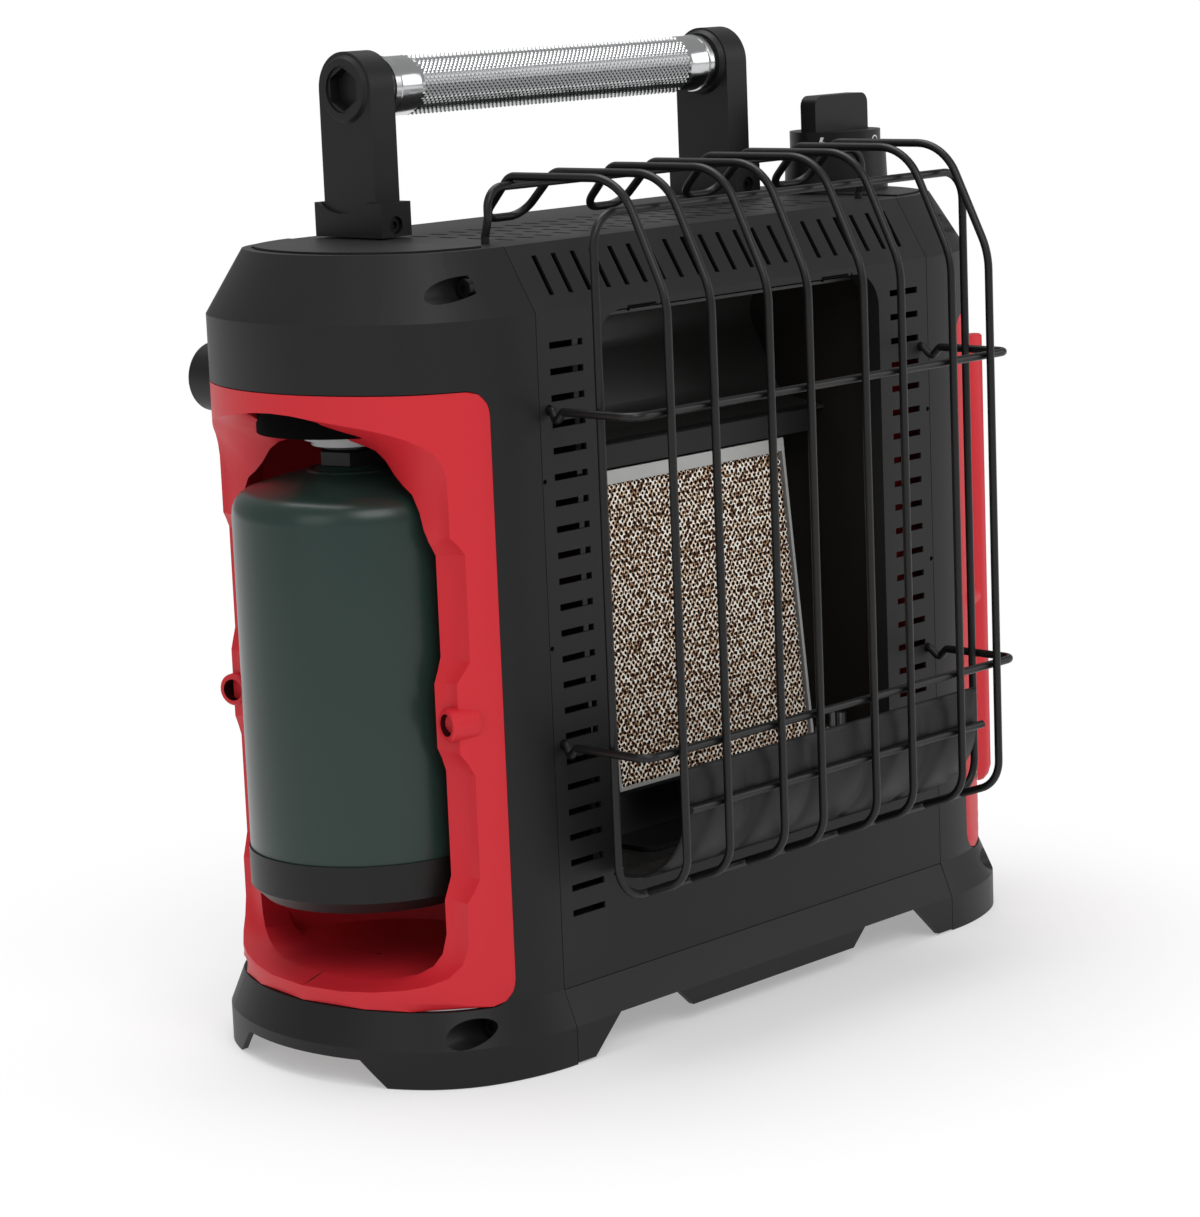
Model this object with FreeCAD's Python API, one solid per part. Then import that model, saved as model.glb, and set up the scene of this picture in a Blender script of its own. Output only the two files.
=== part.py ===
"""Portable propane heater: two gas bottles in end housings, a sheet-steel body and a wire guard.

Millimetres. X runs across the heater, -Y is the front, +Z is up.
The pieces are drawn about the middle of the body and set back at the end, so that the origin
lies on the ground under the middle of the whole heater with its guard.
"""
import math
import os

import FreeCAD
import Part
from FreeCAD import Vector

# Body
body_depth = 150.4          # front panel face to rear panel face
front_y = -body_depth / 2
seam_x = 119.2              # half the width of the sheet-steel body
end_half_width = 189.0      # centre to the outermost point of an end housing wall
seam_z = 29.4               # lower edge of the front panel
shoulder_z = 294.8          # where the wall turns into the sloped shoulder
top_z = 319.6
slope_set_back = 15.4
base_flare = 6.0            # how far the base stands out from the wall
base_band_z = 15.0          # top of the base's upright band
front_arc_radius = 87.0     # plan arcs of the end housing, from the seam outwards
front_arc_angle = 22.8
corner_arc_radius = 47.8
corner_arc_angle = 36.6
housing_wall = 3.0
sheet = 1.2                 # steel sheet thickness
seam_gap = 0.3

# Feet and base skirt
foot_arch_z = 10.6
foot_arch_half = 32.0
foot_slant = 10.5
skirt_wall = 2.5
skirt_foot_z = 0.6
skirt_arch_z = 15.2
skirt_tab_z = 7.8
skirt_foot_x = 109.0
skirt_arch_x = 93.7
skirt_tab_x = 51.0
skirt_tab_slant = 8.0
base_plate_z = 24.0
base_plate_thickness = 2.0
base_plate_set_in = 1.5

# Screw recesses of the housings
shoulder_recess = {"y": 62.0, "z": 306.0, "radius": 4.8, "floor_x": 141.0, "mouth_x": 153.0}
base_recess = {"y": 66.5, "z": 20.6, "radius": 5.4, "floor_x": 149.0, "mouth_x": 162.0}
recess_wall = 1.8
screw_head_radius = 3.6
screw_head_height = 2.6

# Top pads
pad_inset = 4.6
pad_height = 0.8
pad_inner_x = 126.0
pad_groove = 0.9

# Red bay panels
panel_front_x = 142.4       # where the panel's front and rear edges meet the wall
panel_low_z = 28.9
panel_high_z = 268.5
panel_corner = 10.0
panel_skin = 3.0
panel_gap = 0.4
bay_floor_z = 38.0
bay_ceiling_z = 255.0
liner_wall = 2.4
bay_clearance = 5.0
frame_clearance = 1.2
mouth_narrow = ((165.5, 54.0), (160.5, 64.9))   # inner and outer edge of the bevelled mouth
mouth_wide = ((161.0, 58.0), (155.5, 67.6))
mouth_levels = ((20.0, "narrow"), (60.0, "narrow"), (66.0, "wide"), (120.0, "wide"), (126.0, "narrow"),
                (157.0, "narrow"), (163.0, "wide"), (186.0, "wide"), (192.0, "narrow"), (275.0, "narrow"))
mouth_arch = ((75.0, 236.0), (62.0, 247.0), (42.0, 257.6))
cheek_x = 151.0
sill_depth = 5.0
boss_x = 160.6
boss_z = 141.6
boss_y = 63.0
boss_outer_radius = 6.5
boss_hole_radius = 4.4
boss_length = 9.0
slot_half_y = 23.0
slot_outer_reach = 36.0
slot_inner_reach = 22.0

# Gas bottles
bottle_x = end_half_width - 41.2
bottle_radius = 48.0
bottle_wall = 1.5
bottle_foot_z = 66.6
bottle_foot_height = 19.6
bottle_foot_chamfer = 5.0
bottle_shoulder_z = 219.0
bottle_top_z = 231.0
bottle_neck_radius = 14.0
shoulder_round = 7.0
valve_radius = 11.8
valve_top_z = 244.2
collar_radius = 15.6
nose_radius = 8.0
nose_length = 8.0
collar_height = 2.2
regulator_radius = 18.5
regulator_low_z = 246.6
regulator_high_z = 289.0
swing_z = 275.0             # height of the regulator's swivel
swing_pin_radius = 4.0
swing_pin_reach = 30.0
running_gap = 0.08
seat_gap = 0.3

# Front panel openings
opening_half = 86.5
opening_low_z = 66.0
opening_high_z = 291.8
opening_radius = 15.0
opening_lip = 9.0
front_slot_inner = 94.0
front_slot_outer = 112.3
front_slot_top = 283.0
front_slot_pitch = 10.15
front_slot_height = 2.6
front_slot_count = 23
slope_slot_first = 105.9
slope_slot_count = 21
slope_slot_width = 2.6
slope_slot_low = 0.22
slope_slot_high = 0.82
vent_rows = (33.1, 49.2, 65.2, 81.2)    # back from the front panel's face
vent_length = 9.9
vent_width = 2.4
rear_slot_count = 12

# Burner
plaque_half = 60.5
plaque_low = (front_y + 21.2, 94.5)
plaque_high = (front_y + 33.5, 221.0)
plaque_thickness = 13.0
plaque_pitch = 4.4
frame_strip = 5.0
burner_box_depth = 24.0
fire_half = bottle_x - bottle_radius - bay_clearance - liner_wall - frame_clearance - sheet
fire_floor_z = 66.0
fire_back_y = 30.0
reflector_low_y = front_y + 39.2
venturi_radius = 11.0
venturi_wall = 1.2
jet_y = 60.0
jet_z = 150.0
pipe_x = 112.0
pipe_radius = 3.0

# Guard
wire_radius = 1.65
guard_front_y = front_y - 48.8
guard_wire_x = (16.9, 40.7, 73.6, 98.5)
guard_top_z = 344.5
guard_slope_z = 300.0
guard_slope_run = 22.0
guard_back_y = front_y + 31.2
guard_droop_y = front_y + 48.2
guard_droop_z = 327.4
guard_low_z = 67.5          # bottom bar of the guard's frame
guard_low_slope = 0.35
wire_gap = 0.1
guard_frame_x = 112.2
guard_frame_y = front_y - 25.3
guard_frame_top = 332.3
support_x = 113.0
support_y = front_y + 29.2
support_foot_y = front_y + 31.2
hook_x = 115.6
hook_entry_x = 113.7
hook_drop = 4.2
hook_z = (257.2, 126.6)
short_bar_z = 102.2

# Deflector
deflector_half = 91.3
deflector_high_z = 118.0
deflector_low_z = 70.0
deflector_radius = 34.0

# Handle
handle_y = 31.7
arm_inner_x = 99.5
arm_thickness = 13.1
arm_half_width = 14.9
arm_foot_z = 324.0
bolt_z = 378.6
bracket_overhang = 4.4
bracket_side = 1.6
bracket_high_z = 334.0
bracket_screw_drop = 9.0
bar_radius = 12.4
bar_end_radius = 10.8
bar_plain = 7.0
arm_boss_radius = 13.6
hex_across = 15.0
handle_screw_radius = 1.9

# Control knob
knob_x = end_half_width - 41.2
knob_y = -3.0
pedestal_radius = 22.8
pedestal_top_z = 337.4
knob_skirt_radius = 20.0
knob_skirt_top_z = 346.4
knob_top_z = 362.0
blade_length = 36.0
blade_width = 8.4
stem_radius = 4.0
stem_low_z = 305.0
valve_body_high_z = 312.0
knob_travel = 4.0

# Rear port
port_x = 146.0
port_z = 266.0
port_radius = 14.0
port_end_y = 81.0
port_cap_length = 15.0
port_bore_radius = 5.0
port_nose_radius = 10.0
port_tube_radius = 5.0
port_body_y = 56.0

top_front_y = front_y + slope_set_back
left_and_right = (("left", -1), ("right", 1))


def box(x0, x1, y0, y1, z0, z1):
    low = Vector(min(x0, x1), min(y0, y1), min(z0, z1))
    return Part.makeBox(abs(x1 - x0), abs(y1 - y0), abs(z1 - z0), low)


def rod(radius, start, end):
    a, b = Vector(*start), Vector(*end)
    return Part.makeCylinder(radius, (b - a).Length, a, b - a)


def polygon_prism(points, direction):
    wire = Part.makePolygon([Vector(*p) for p in points + points[:1]])
    return Part.Face(wire).extrude(Vector(*direction))


def mirror_x(shape):
    return shape.mirror(Vector(0, 0, 0), Vector(1, 0, 0))


def on_side(shape, side):
    return shape if side < 0 else mirror_x(shape)


def fuse(shapes):
    first, rest = shapes[0], shapes[1:]
    return first.fuse(rest).removeSplitter() if rest else first


def cut(shape, tools):
    return shape.cut(tools) if tools else shape


def rounded_rectangle(x0, x1, z0, z1, radius, y0, y1):
    """A block with rounded corners, seen along Y."""
    block = box(x0, x1, y0, y1, z0, z1)
    upright = [e for e in block.Edges if abs(e.Vertexes[0].Point.y - e.Vertexes[-1].Point.y) > 1e-6]
    return block.makeFillet(radius, upright)


def wire_rod(points, radii, radius=wire_radius):
    """Round wire along straight runs joined by tangent arcs."""
    corner = [Vector(*p) for p in points]
    edges, start = [], corner[0]
    for index in range(1, len(corner) - 1):
        before = (corner[index - 1] - corner[index]).normalize()
        after = (corner[index + 1] - corner[index]).normalize()
        half = before.getAngle(after) / 2
        bend = radii[index - 1]
        back = bend / math.tan(half)
        enter, leave = corner[index] + before * back, corner[index] + after * back
        middle = (before + after).normalize()
        centre = corner[index] + middle * (bend / math.sin(half))
        edges.append(Part.LineSegment(start, enter).toShape())
        edges.append(Part.Arc(enter, centre - middle * bend, leave).toShape())
        start = leave
    edges.append(Part.LineSegment(start, corner[-1]).toShape())
    path = Part.Wire(edges)
    ring = Part.Wire(Part.makeCircle(radius, corner[0], corner[1] - corner[0]))
    return path.makePipeShell([ring], True, False)


def plan_wire(offset, z, inner_x=seam_x):
    """Outline of the left end housing seen from above, stepped out by offset from its wall."""
    radii = (front_arc_radius + offset, corner_arc_radius + offset)
    turns = (math.radians(front_arc_angle), math.radians(corner_arc_angle))
    seam = Vector(-seam_x, front_y - offset, z)
    heading, point, edges = 0.0, seam, []
    for radius, turn in zip(radii, turns):
        centre = point + Vector(radius * math.sin(heading), radius * math.cos(heading), 0)

        def on_arc(angle, centre=centre, radius=radius):
            return centre - Vector(radius * math.sin(angle), radius * math.cos(angle), 0)

        end = on_arc(heading + turn)
        edges.append(Part.Arc(point, on_arc(heading + turn / 2), end).toShape())
        heading, point = heading + turn, end
    outermost = Vector(-end_half_width - offset, 0, z)
    mirrored = Vector(point.x, -point.y, z)
    edges.append(Part.Arc(point, outermost, mirrored).toShape())
    for edge in reversed(edges[:2]):
        edges.append(edge.mirror(Vector(0, 0, 0), Vector(0, 1, 0)))
    rear = Vector(seam.x, -seam.y, z)
    if inner_x < seam_x:
        inner = [Vector(-inner_x, -seam.y, z), Vector(-inner_x, seam.y, z)]
        edges.append(Part.makePolygon([rear] + inner + [seam]))
    else:
        edges.append(Part.LineSegment(rear, seam).toShape())
    return Part.Wire(Part.__sortEdges__([e for edge in edges for e in edge.Edges]))


def plan_prism(offset, z0, z1, inner_x=seam_x):
    return Part.Face(plan_wire(offset, z0, inner_x)).extrude(Vector(0, 0, z1 - z0))


def plan_loft(offset0, z0, offset1, z1):
    return Part.makeLoft([plan_wire(offset0, z0), plan_wire(offset1, z1)], True, True)


def housing_block(inset):
    """The whole outer form of the left end housing, or its hollow when inset is the wall."""
    low = -1.0 if inset else 0.0
    slope = slope_set_back / (top_z - shoulder_z)
    lid = top_z - inset
    lid_offset = -slope_set_back - inset + inset * slope
    return fuse([
        plan_prism(base_flare - inset, low, base_band_z),
        plan_loft(base_flare - inset, base_band_z, -inset, seam_z),
        plan_prism(-inset, seam_z, shoulder_z),
        plan_loft(-inset, shoulder_z, lid_offset, lid)])


def panel_block(gap):
    """Block that the bay panel fills in the wall, with rounded corners at its straight edges."""
    return rounded_rectangle(-end_half_width - 40, -panel_front_x - gap, panel_low_z + gap,
                             panel_high_z - gap, panel_corner, -body_depth, body_depth)


def base_arch(reach):
    half_low = foot_arch_half + foot_slant
    outline = [(-reach, -half_low, -2), (-reach, -half_low, 0), (-reach, -foot_arch_half, foot_arch_z),
               (-reach, foot_arch_half, foot_arch_z), (-reach, half_low, 0), (-reach, half_low, -2)]
    return polygon_prism(outline, (reach - seam_x - 20, 0, 0))


def bay_space(grow, z0, z1):
    """Bay for the bottle: round behind it and straight-sided towards the mouth."""
    radius = bottle_radius + bay_clearance + grow
    round_part = rod(radius, (-bottle_x, 0, z0), (-bottle_x, 0, z1))
    return fuse([round_part, box(-end_half_width - 15, -bottle_x, -radius, radius, z0, z1)])


def mouth_wire(kind, z):
    (inner_x, inner_y), (outer_x, outer_y) = mouth_wide if kind == "wide" else mouth_narrow
    along = Vector(inner_x - outer_x, outer_y - inner_y, 0).normalize() * 8
    side = [(-bottle_x, -inner_y), (-inner_x, -inner_y), (-outer_x + along.x, -outer_y - along.y),
            (-end_half_width - 25, -outer_y - along.y)]
    side += [(x, -y) for x, y in reversed(side)]
    return Part.makePolygon([Vector(x, y, z) for x, y in side + side[:1]])


def mouth_space():
    """The bevelled mouth, stepping in and out with height, under an arched lintel."""
    space = Part.makeLoft([mouth_wire(kind, z) for z, kind in mouth_levels], True, True)
    arch = [(y, z) for y, z in mouth_arch]
    outline = [(-75.0, bay_floor_z)] + [(-y, z) for y, z in arch] + list(reversed(arch)) + [(75.0, bay_floor_z)]
    return space.common(polygon_prism([(-end_half_width - 20, y, z) for y, z in outline],
                                      (end_half_width + 20 - bottle_x, 0, 0)))


def recess(spec, radius, start_x, end_x):
    return [rod(radius, (-start_x, sign * spec["y"], spec["z"]), (-end_x, sign * spec["y"], spec["z"]))
            for sign in (-1, 1)]


def end_housing():
    """Moulded end housing: wall, flared base, sloped shoulder and top pad."""
    outer, hollow = housing_block(0), housing_block(housing_wall)
    shell = outer.cut(hollow)
    cups = []
    for spec in (shoulder_recess, base_recess):
        cups += recess(spec, spec["radius"] + recess_wall, spec["floor_x"] - recess_wall, spec["mouth_x"] + 8)
    shell = fuse([shell] + [cup.common(outer) for cup in cups])
    pad_offset = -slope_set_back - pad_inset
    pad = plan_prism(pad_offset, top_z - 0.2, top_z + pad_height)
    pad = pad.common(box(-300, -pad_inner_x, -200, 200, 0, 400))
    groove = plan_prism(pad_offset + pad_groove, top_z - 0.6, top_z + 1).cut(
        plan_prism(pad_offset, top_z - 1, top_z + 2))
    groove = groove.common(box(-300, -pad_inner_x, -200, 200, 0, 400))
    shell = fuse([shell.cut(groove), pad])
    holes = [panel_block(0), base_arch(end_half_width + 30)]
    for spec in (shoulder_recess, base_recess):
        holes += recess(spec, spec["radius"], spec["floor_x"], spec["mouth_x"] + 40)
    knob_bore = rod(stem_radius + 1.0, (-knob_x, knob_y, top_z - 10), (-knob_x, knob_y, top_z + 10))
    port_bore = rod(port_radius + seat_gap, (-port_x, port_body_y - 1, port_z), (-port_x, body_depth, port_z))
    return shell.cut(holes), knob_bore, port_bore


def bay_panel():
    """Coloured panel with the bay for the bottle moulded into it."""
    space = bay_space(0, bay_floor_z, bay_ceiling_z)
    inner_limit = fuse([plan_prism(-housing_wall - seat_gap, panel_low_z, panel_high_z),
                        box(-seam_x, -60, front_y + 5, -front_y - 5, panel_low_z, panel_high_z)])
    liner = bay_space(liner_wall, bay_floor_z - liner_wall, bay_ceiling_z + liner_wall).common(inner_limit)
    skin = plan_prism(0, panel_low_z, panel_high_z).cut(plan_prism(-panel_skin, 0, top_z))
    cheeks = plan_prism(0, bay_floor_z - sill_depth, bay_ceiling_z + liner_wall)
    cheeks = cheeks.common(box(-end_half_width - 5, -cheek_x, -body_depth, body_depth, 0, top_z))
    shell = fuse([skin, cheeks]).common(panel_block(panel_gap))
    bosses, holes = [], []
    for sign in (-1, 1):
        mouth = Vector(-boss_x - 2.5, sign * (boss_y - 1.5), boss_z)
        root = Vector(-boss_x + boss_length, sign * (boss_y + 1.5), boss_z)
        along = (mouth - root).normalize()
        bosses.append(rod(boss_outer_radius, root, mouth))
        holes.append(rod(boss_hole_radius, root + along * 2.5, mouth + along * 2))
    panel = fuse([shell, liner]).cut([space, mouth_space()])
    panel = fuse([panel] + bosses).cut(holes + [space])
    slot = box(-bottle_x - slot_outer_reach, -bottle_x + slot_inner_reach, -slot_half_y, slot_half_y,
               bay_ceiling_z - 5, bay_ceiling_z + 12)
    return panel.cut(slot)


def front_profile(depth):
    """Front face and shoulder of the sheet body as a section in Y and Z."""
    slope = slope_set_back / (top_z - shoulder_z)
    level = top_z - depth
    inner_corner = shoulder_z - depth * math.tan(math.atan(slope) / 2)
    inner_top_y = front_y + depth + (level - inner_corner) * slope
    return [(front_y, seam_z), (front_y, shoulder_z), (top_front_y, top_z), (top_front_y + depth * 3, top_z),
            (top_front_y + depth * 3, level), (inner_top_y, level), (front_y + depth, inner_corner),
            (front_y + depth, seam_z)]


def sheet_front(half):
    return polygon_prism([(-half, y, z) for y, z in front_profile(sheet)], (2 * half, 0, 0))


def front_slots():
    tools = []
    for index in range(front_slot_count):
        high = front_slot_top - index * front_slot_pitch
        for sign in (-1, 1):
            tools.append(box(sign * front_slot_inner, sign * front_slot_outer, front_y - 2,
                             front_y + sheet + 2, high - front_slot_height, high))
    return tools


def slope_slots():
    rise = top_z - shoulder_z
    pitch = 2 * slope_slot_first / (slope_slot_count - 1)
    tools = []
    for index in range(slope_slot_count):
        x = -slope_slot_first + index * pitch
        low, high = slope_slot_low, slope_slot_high
        outline = [(x - slope_slot_width / 2, front_y + slope_set_back * t + side, shoulder_z + rise * t)
                   for t, side in ((low, -4), (high, -4), (high, 4), (low, 4))]
        tools.append(polygon_prism(outline, (slope_slot_width, 0, 0)))
    return tools


def front_panel():
    """Painted sheet: front face, lip round the fire opening, louvre slots and sloped shoulder."""
    half = seam_x - seam_gap
    inner = rounded_rectangle(-opening_half, opening_half, opening_low_z, opening_high_z, opening_radius,
                              front_y - 5, front_y + 30)
    collar = rounded_rectangle(-opening_half - sheet, opening_half + sheet, opening_low_z - sheet,
                               opening_high_z + sheet, opening_radius + sheet, front_y, front_y + opening_lip)
    panel = fuse([sheet_front(half), collar]).cut([inner] + front_slots() + slope_slots())
    holes = [rod(1.0, (sign * (seam_x - 1.5), front_y - 3, z), (sign * (seam_x - 1.5), front_y + 5, z))
             for sign in (-1, 1) for z in (165.0, 230.0)]
    wire_holes = [rod(wire_radius + 0.4, (sign * hook_entry_x, front_y - 3, z), (sign * hook_entry_x, front_y + 4, z))
                  for sign in (-1, 1) for z in hook_z]
    return panel.cut(holes + wire_holes)


def top_panel():
    """Top sheet with rows of short vents in front of the handle."""
    half = seam_x - seam_gap
    lid = box(-half, half, top_front_y + sheet * 3 + 0.1, -top_front_y - sheet * 3 - 0.1, top_z - sheet, top_z)
    pitch = 2 * slope_slot_first / (slope_slot_count - 1)
    tools = []
    for y in (front_y + row for row in vent_rows):
        for index in range(slope_slot_count - 2):
            x = -slope_slot_first + (index + 1) * pitch
            tools.append(box(x - vent_width / 2, x + vent_width / 2, y, y + vent_length, top_z - 5, top_z + 5))
    feet = [rod(wire_radius + seat_gap, (sign * support_x, support_foot_y, top_z - 5),
                (sign * support_x, support_foot_y, top_z + 5)) for sign in (-1, 1)]
    return lid.cut(tools + feet)


def rear_panel():
    """Rear sheet, sloped at the top as the front is, with two groups of air slots."""
    half = seam_x - seam_gap
    panel = sheet_front(half).mirror(Vector(0, 0, 0), Vector(0, 1, 0))
    tools = []
    for index in range(rear_slot_count):
        z = 70.0 + index * 2 * slope_slot_width * 2
        for sign in (-1, 1):
            tools.append(box(sign * 20.0, sign * 75.0, -front_y - 5, -front_y + 5, z, z + slope_slot_width))
    return panel.cut(tools)


def base_skirt(front):
    """Lower skirt between the end housings, with its feet and middle tab."""
    half = seam_x - seam_gap
    outer = [(front_y, seam_z - seam_gap), (front_y - base_flare, base_band_z), (front_y - base_flare, 0)]
    inner = [(y + skirt_wall, z) for y, z in reversed(outer)]
    skirt = polygon_prism([(-half, y, z) for y, z in outer + inner], (2 * half, 0, 0))
    tab = skirt_tab_x + skirt_tab_slant
    under = [(-half - 1, -2), (-half - 1, skirt_foot_z), (-skirt_foot_x, skirt_foot_z),
             (-skirt_arch_x, skirt_arch_z), (-tab, skirt_arch_z), (-skirt_tab_x, skirt_tab_z)]
    under += [(-x, z) for x, z in reversed(under)]
    tool = polygon_prism([(x, front_y - 20, z) for x, z in under], (0, 40, 0))
    skirt = skirt.cut(tool)
    return skirt if front else skirt.mirror(Vector(0, 0, 0), Vector(0, 1, 0))


def base_plate():
    half = seam_x - seam_gap
    reach = -front_y - base_plate_set_in
    return box(-half, half, -reach, reach, base_plate_z, base_plate_z + base_plate_thickness)


def side_frame():
    """Upright inner wall of the left side, between the bay and the firebox, cut to the sloped shoulders."""
    x = -fire_half - sheet
    low = base_plate_z + base_plate_thickness
    front, back = front_y + opening_lip + 0.5, -front_y - 2 * sheet
    high = top_z - sheet - seat_gap
    slope = slope_set_back / (top_z - shoulder_z)
    inset = sheet / math.cos(math.atan(slope)) + 2 * seat_gap

    def slope_z(y):
        return shoulder_z + (y - front_y - inset) / slope

    corner = front_y + inset + (high - shoulder_z) * slope
    outline = [(front, low), (front, slope_z(front)), (corner, high), (-corner, high), (back, slope_z(-back)),
               (back, low + 10), (back - 3, low + 10), (back - 3, low)]
    wall = polygon_prism([(x, y, z) for y, z in outline], (sheet, 0, 0))
    foot = box(x - 6, x + sheet, front, back - 3, low, low + sheet)
    return fuse([wall, foot]).cut(pipe_holes())


def fire_floor():
    """Tray under the burner, with its front edge turned down behind the opening."""
    half = fire_half - 0.3
    y0 = front_y + opening_lip + 0.6
    tray = box(-half, half, y0, fire_back_y, fire_floor_z, fire_floor_z + sheet)
    edge = box(-half, half, y0, y0 + sheet, fire_floor_z - 12, fire_floor_z + sheet)
    plate = rounded_rectangle(-40, 40, 0, 26, 6, 0, 2.0)
    plate.rotate(Vector(0, 0, 0), Vector(1, 0, 0), -90)
    plate.translate(Vector(-10, y0 + 6 , fire_floor_z + sheet + 2.0))
    legs = [rod(2, (x, y0 + 12, fire_floor_z + sheet), (x, y0 + 12, fire_floor_z + sheet + 2.0)) for x in (-40, 20)]
    return fuse([tray, edge]), fuse([plate] + legs)


def curved_sheet(points, radius, half, thickness=sheet):
    """Sheet across X that follows straight runs joined by bends, given in Y and Z."""
    corner = [Vector(-half, y, z) for y, z in points]
    edges, start = [], corner[0]
    for index in range(1, len(corner) - 1):
        before = (corner[index - 1] - corner[index]).normalize()
        after = (corner[index + 1] - corner[index]).normalize()
        angle = before.getAngle(after) / 2
        back = radius / math.tan(angle)
        middle = (before + after).normalize()
        centre = corner[index] + middle * (radius / math.sin(angle))
        enter, leave = corner[index] + before * back, corner[index] + after * back
        edges.append(Part.LineSegment(start, enter).toShape())
        edges.append(Part.Arc(enter, centre - middle * radius, leave).toShape())
        start = leave
    edges.append(Part.LineSegment(start, corner[-1]).toShape())
    path = Part.Wire(edges)
    side = path.makeOffset2D(thickness, openResult=True, fill=True)
    face = side if side.ShapeType == "Face" else Part.Face(side)
    return face.extrude(Vector(2 * half, 0, 0))


def upper_reflector():
    """Curved hood from the top of the opening down to the burner's upper edge."""
    y0 = front_y + opening_lip + 0.8
    points = [(y0, opening_high_z - 2), (fire_back_y - 20, opening_high_z - 4), (reflector_low_y + 20, 236.0),
              (plaque_high[0] + 1.0, plaque_high[1] + frame_strip + 6)]
    return curved_sheet(points, 16.0, fire_half - 0.3)


def tilted(shape):
    """Lean a piece that was built upright on the burner's lower front edge."""
    lean = math.degrees(math.atan2(plaque_high[0] - plaque_low[0], plaque_high[1] - plaque_low[1]))
    shape.rotate(Vector(0, 0, 0), Vector(1, 0, 0), -lean)
    shape.translate(Vector(0, plaque_low[0], plaque_low[1]))
    return shape


def burner_parts():
    """Ceramic plaque, its sheet frame, the screen behind, and the mixing box."""
    height = math.hypot(plaque_high[0] - plaque_low[0], plaque_high[1] - plaque_low[1])
    half = plaque_half
    plaque = box(-half, half, 0, plaque_thickness, 0, height)
    dimples = []
    columns = int(2 * half / plaque_pitch / 2)
    rows = int(height / plaque_pitch / 2)
    for column in range(columns):
        for row in range(rows):
            x = -half + plaque_pitch * (2 * column + 1)
            z = plaque_pitch * (2 * row + 1)
            dimples.append(rod(0.6, (x, -1, z), (x, 0.8, z)))
    plaque = plaque.cut(dimples)
    strip = frame_strip
    gap = 0.2
    outer = box(-half - 1.6, half + 1.6, -0.8, plaque_thickness + 1, -strip, height + strip)
    window = box(-half + 1.0, half - 1.0, -3, 1, 2.0, height - strip)
    room = box(-half - gap, half + gap, -gap, plaque_thickness + 3, -gap, height + gap)
    frame = outer.cut([window, room])
    y0 = plaque_thickness + 1
    housing = box(-half - 1.6, half + 1.6, y0, y0 + burner_box_depth, -strip, height + strip)
    hollow = box(-half + 3, half - 3, y0 - 1, y0 + burner_box_depth - sheet, 3, height - 3)
    housing = tilted(housing.cut(hollow))
    rear_y = plaque_low[0] + y0 + burner_box_depth
    tube = rod(venturi_radius, (0, rear_y - 2, jet_z), (0, jet_y - 9 - seat_gap, jet_z))
    stand = [box(x - 8, x + 8, rear_y - 10, rear_y - 10 + sheet, fire_floor_z + sheet, plaque_low[1] + 5)
             for x in (-45, 45)]
    feet = [box(x - 8, x + 8, rear_y - 10, rear_y + 4, fire_floor_z + sheet, fire_floor_z + 2 * sheet)
            for x in (-45, 45)]
    bore = rod(venturi_radius - venturi_wall, (0, rear_y - 9, jet_z), (0, jet_y, jet_z))
    housing = fuse([housing, tube] + stand + feet).cut(bore)
    return tilted(plaque), tilted(frame), housing


def bottle_profile(inset):
    """Half section of the bottle in radius and height, turned round its axis."""
    r = bottle_radius - inset
    low, shoulder, high = bottle_foot_z + 6 + inset, bottle_shoulder_z, bottle_top_z - inset
    neck = bottle_neck_radius - inset
    points = [Vector(0, 0, low), Vector(r - 8, 0, low), Vector(r, 0, low + 8),
              Vector(r, 0, shoulder - shoulder_round), Vector(r - shoulder_round * 0.9, 0, shoulder),
              Vector(neck, 0, high), Vector(0, 0, high)]
    bend = Vector(r - shoulder_round * 0.22, 0, shoulder - shoulder_round * 0.28)
    edges = [Part.LineSegment(a, b).toShape() for a, b in zip(points[:3], points[1:4])]
    edges.append(Part.Arc(points[3], bend, points[4]).toShape())
    edges += [Part.LineSegment(a, b).toShape() for a, b in zip(points[4:], points[5:] + points[:1])]
    return Part.Face(Part.Wire(edges)).revolve(Vector(0, 0, 0), Vector(0, 0, 1), 360)


def at_bottle(shape):
    shape.translate(Vector(-bottle_x, 0, 0))
    return shape


def bottle_parts():
    """Steel bottle, its moulded foot and its valve."""
    body = bottle_profile(0).cut(bottle_profile(bottle_wall))
    foot_top = bottle_foot_z + bottle_foot_height
    foot = Part.makeCylinder(bottle_radius + 0.6, bottle_foot_height, Vector(0, 0, bottle_foot_z))
    rim = [e for e in foot.Edges if len(e.Vertexes) == 1 and abs(e.Vertexes[0].Point.z - bottle_foot_z) < 1e-6]
    foot = foot.makeChamfer(bottle_foot_chamfer, rim)
    inside = Part.makeCylinder(bottle_radius + 0.02, bottle_foot_height, Vector(0, 0, bottle_foot_z + 6.0))
    under = Part.makeCylinder(bottle_radius - 8, 4.0, Vector(0, 0, bottle_foot_z - 1))
    foot = foot.cut([inside, under])
    valve = Part.makeCylinder(bottle_neck_radius, 3.0, Vector(0, 0, bottle_top_z))
    valve = valve.fuse(Part.makeCylinder(valve_radius, valve_top_z - bottle_top_z, Vector(0, 0, bottle_top_z)))
    valve = valve.fuse(Part.makeCylinder(nose_radius, nose_length, Vector(0, 0, valve_top_z)))
    relief = rod(2.0, (0, -valve_radius - 1.6, bottle_top_z + 6.5), (0, 0, bottle_top_z + 6.5))
    valve = valve.fuse(relief).removeSplitter()
    return at_bottle(body), at_bottle(foot), at_bottle(valve)


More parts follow.
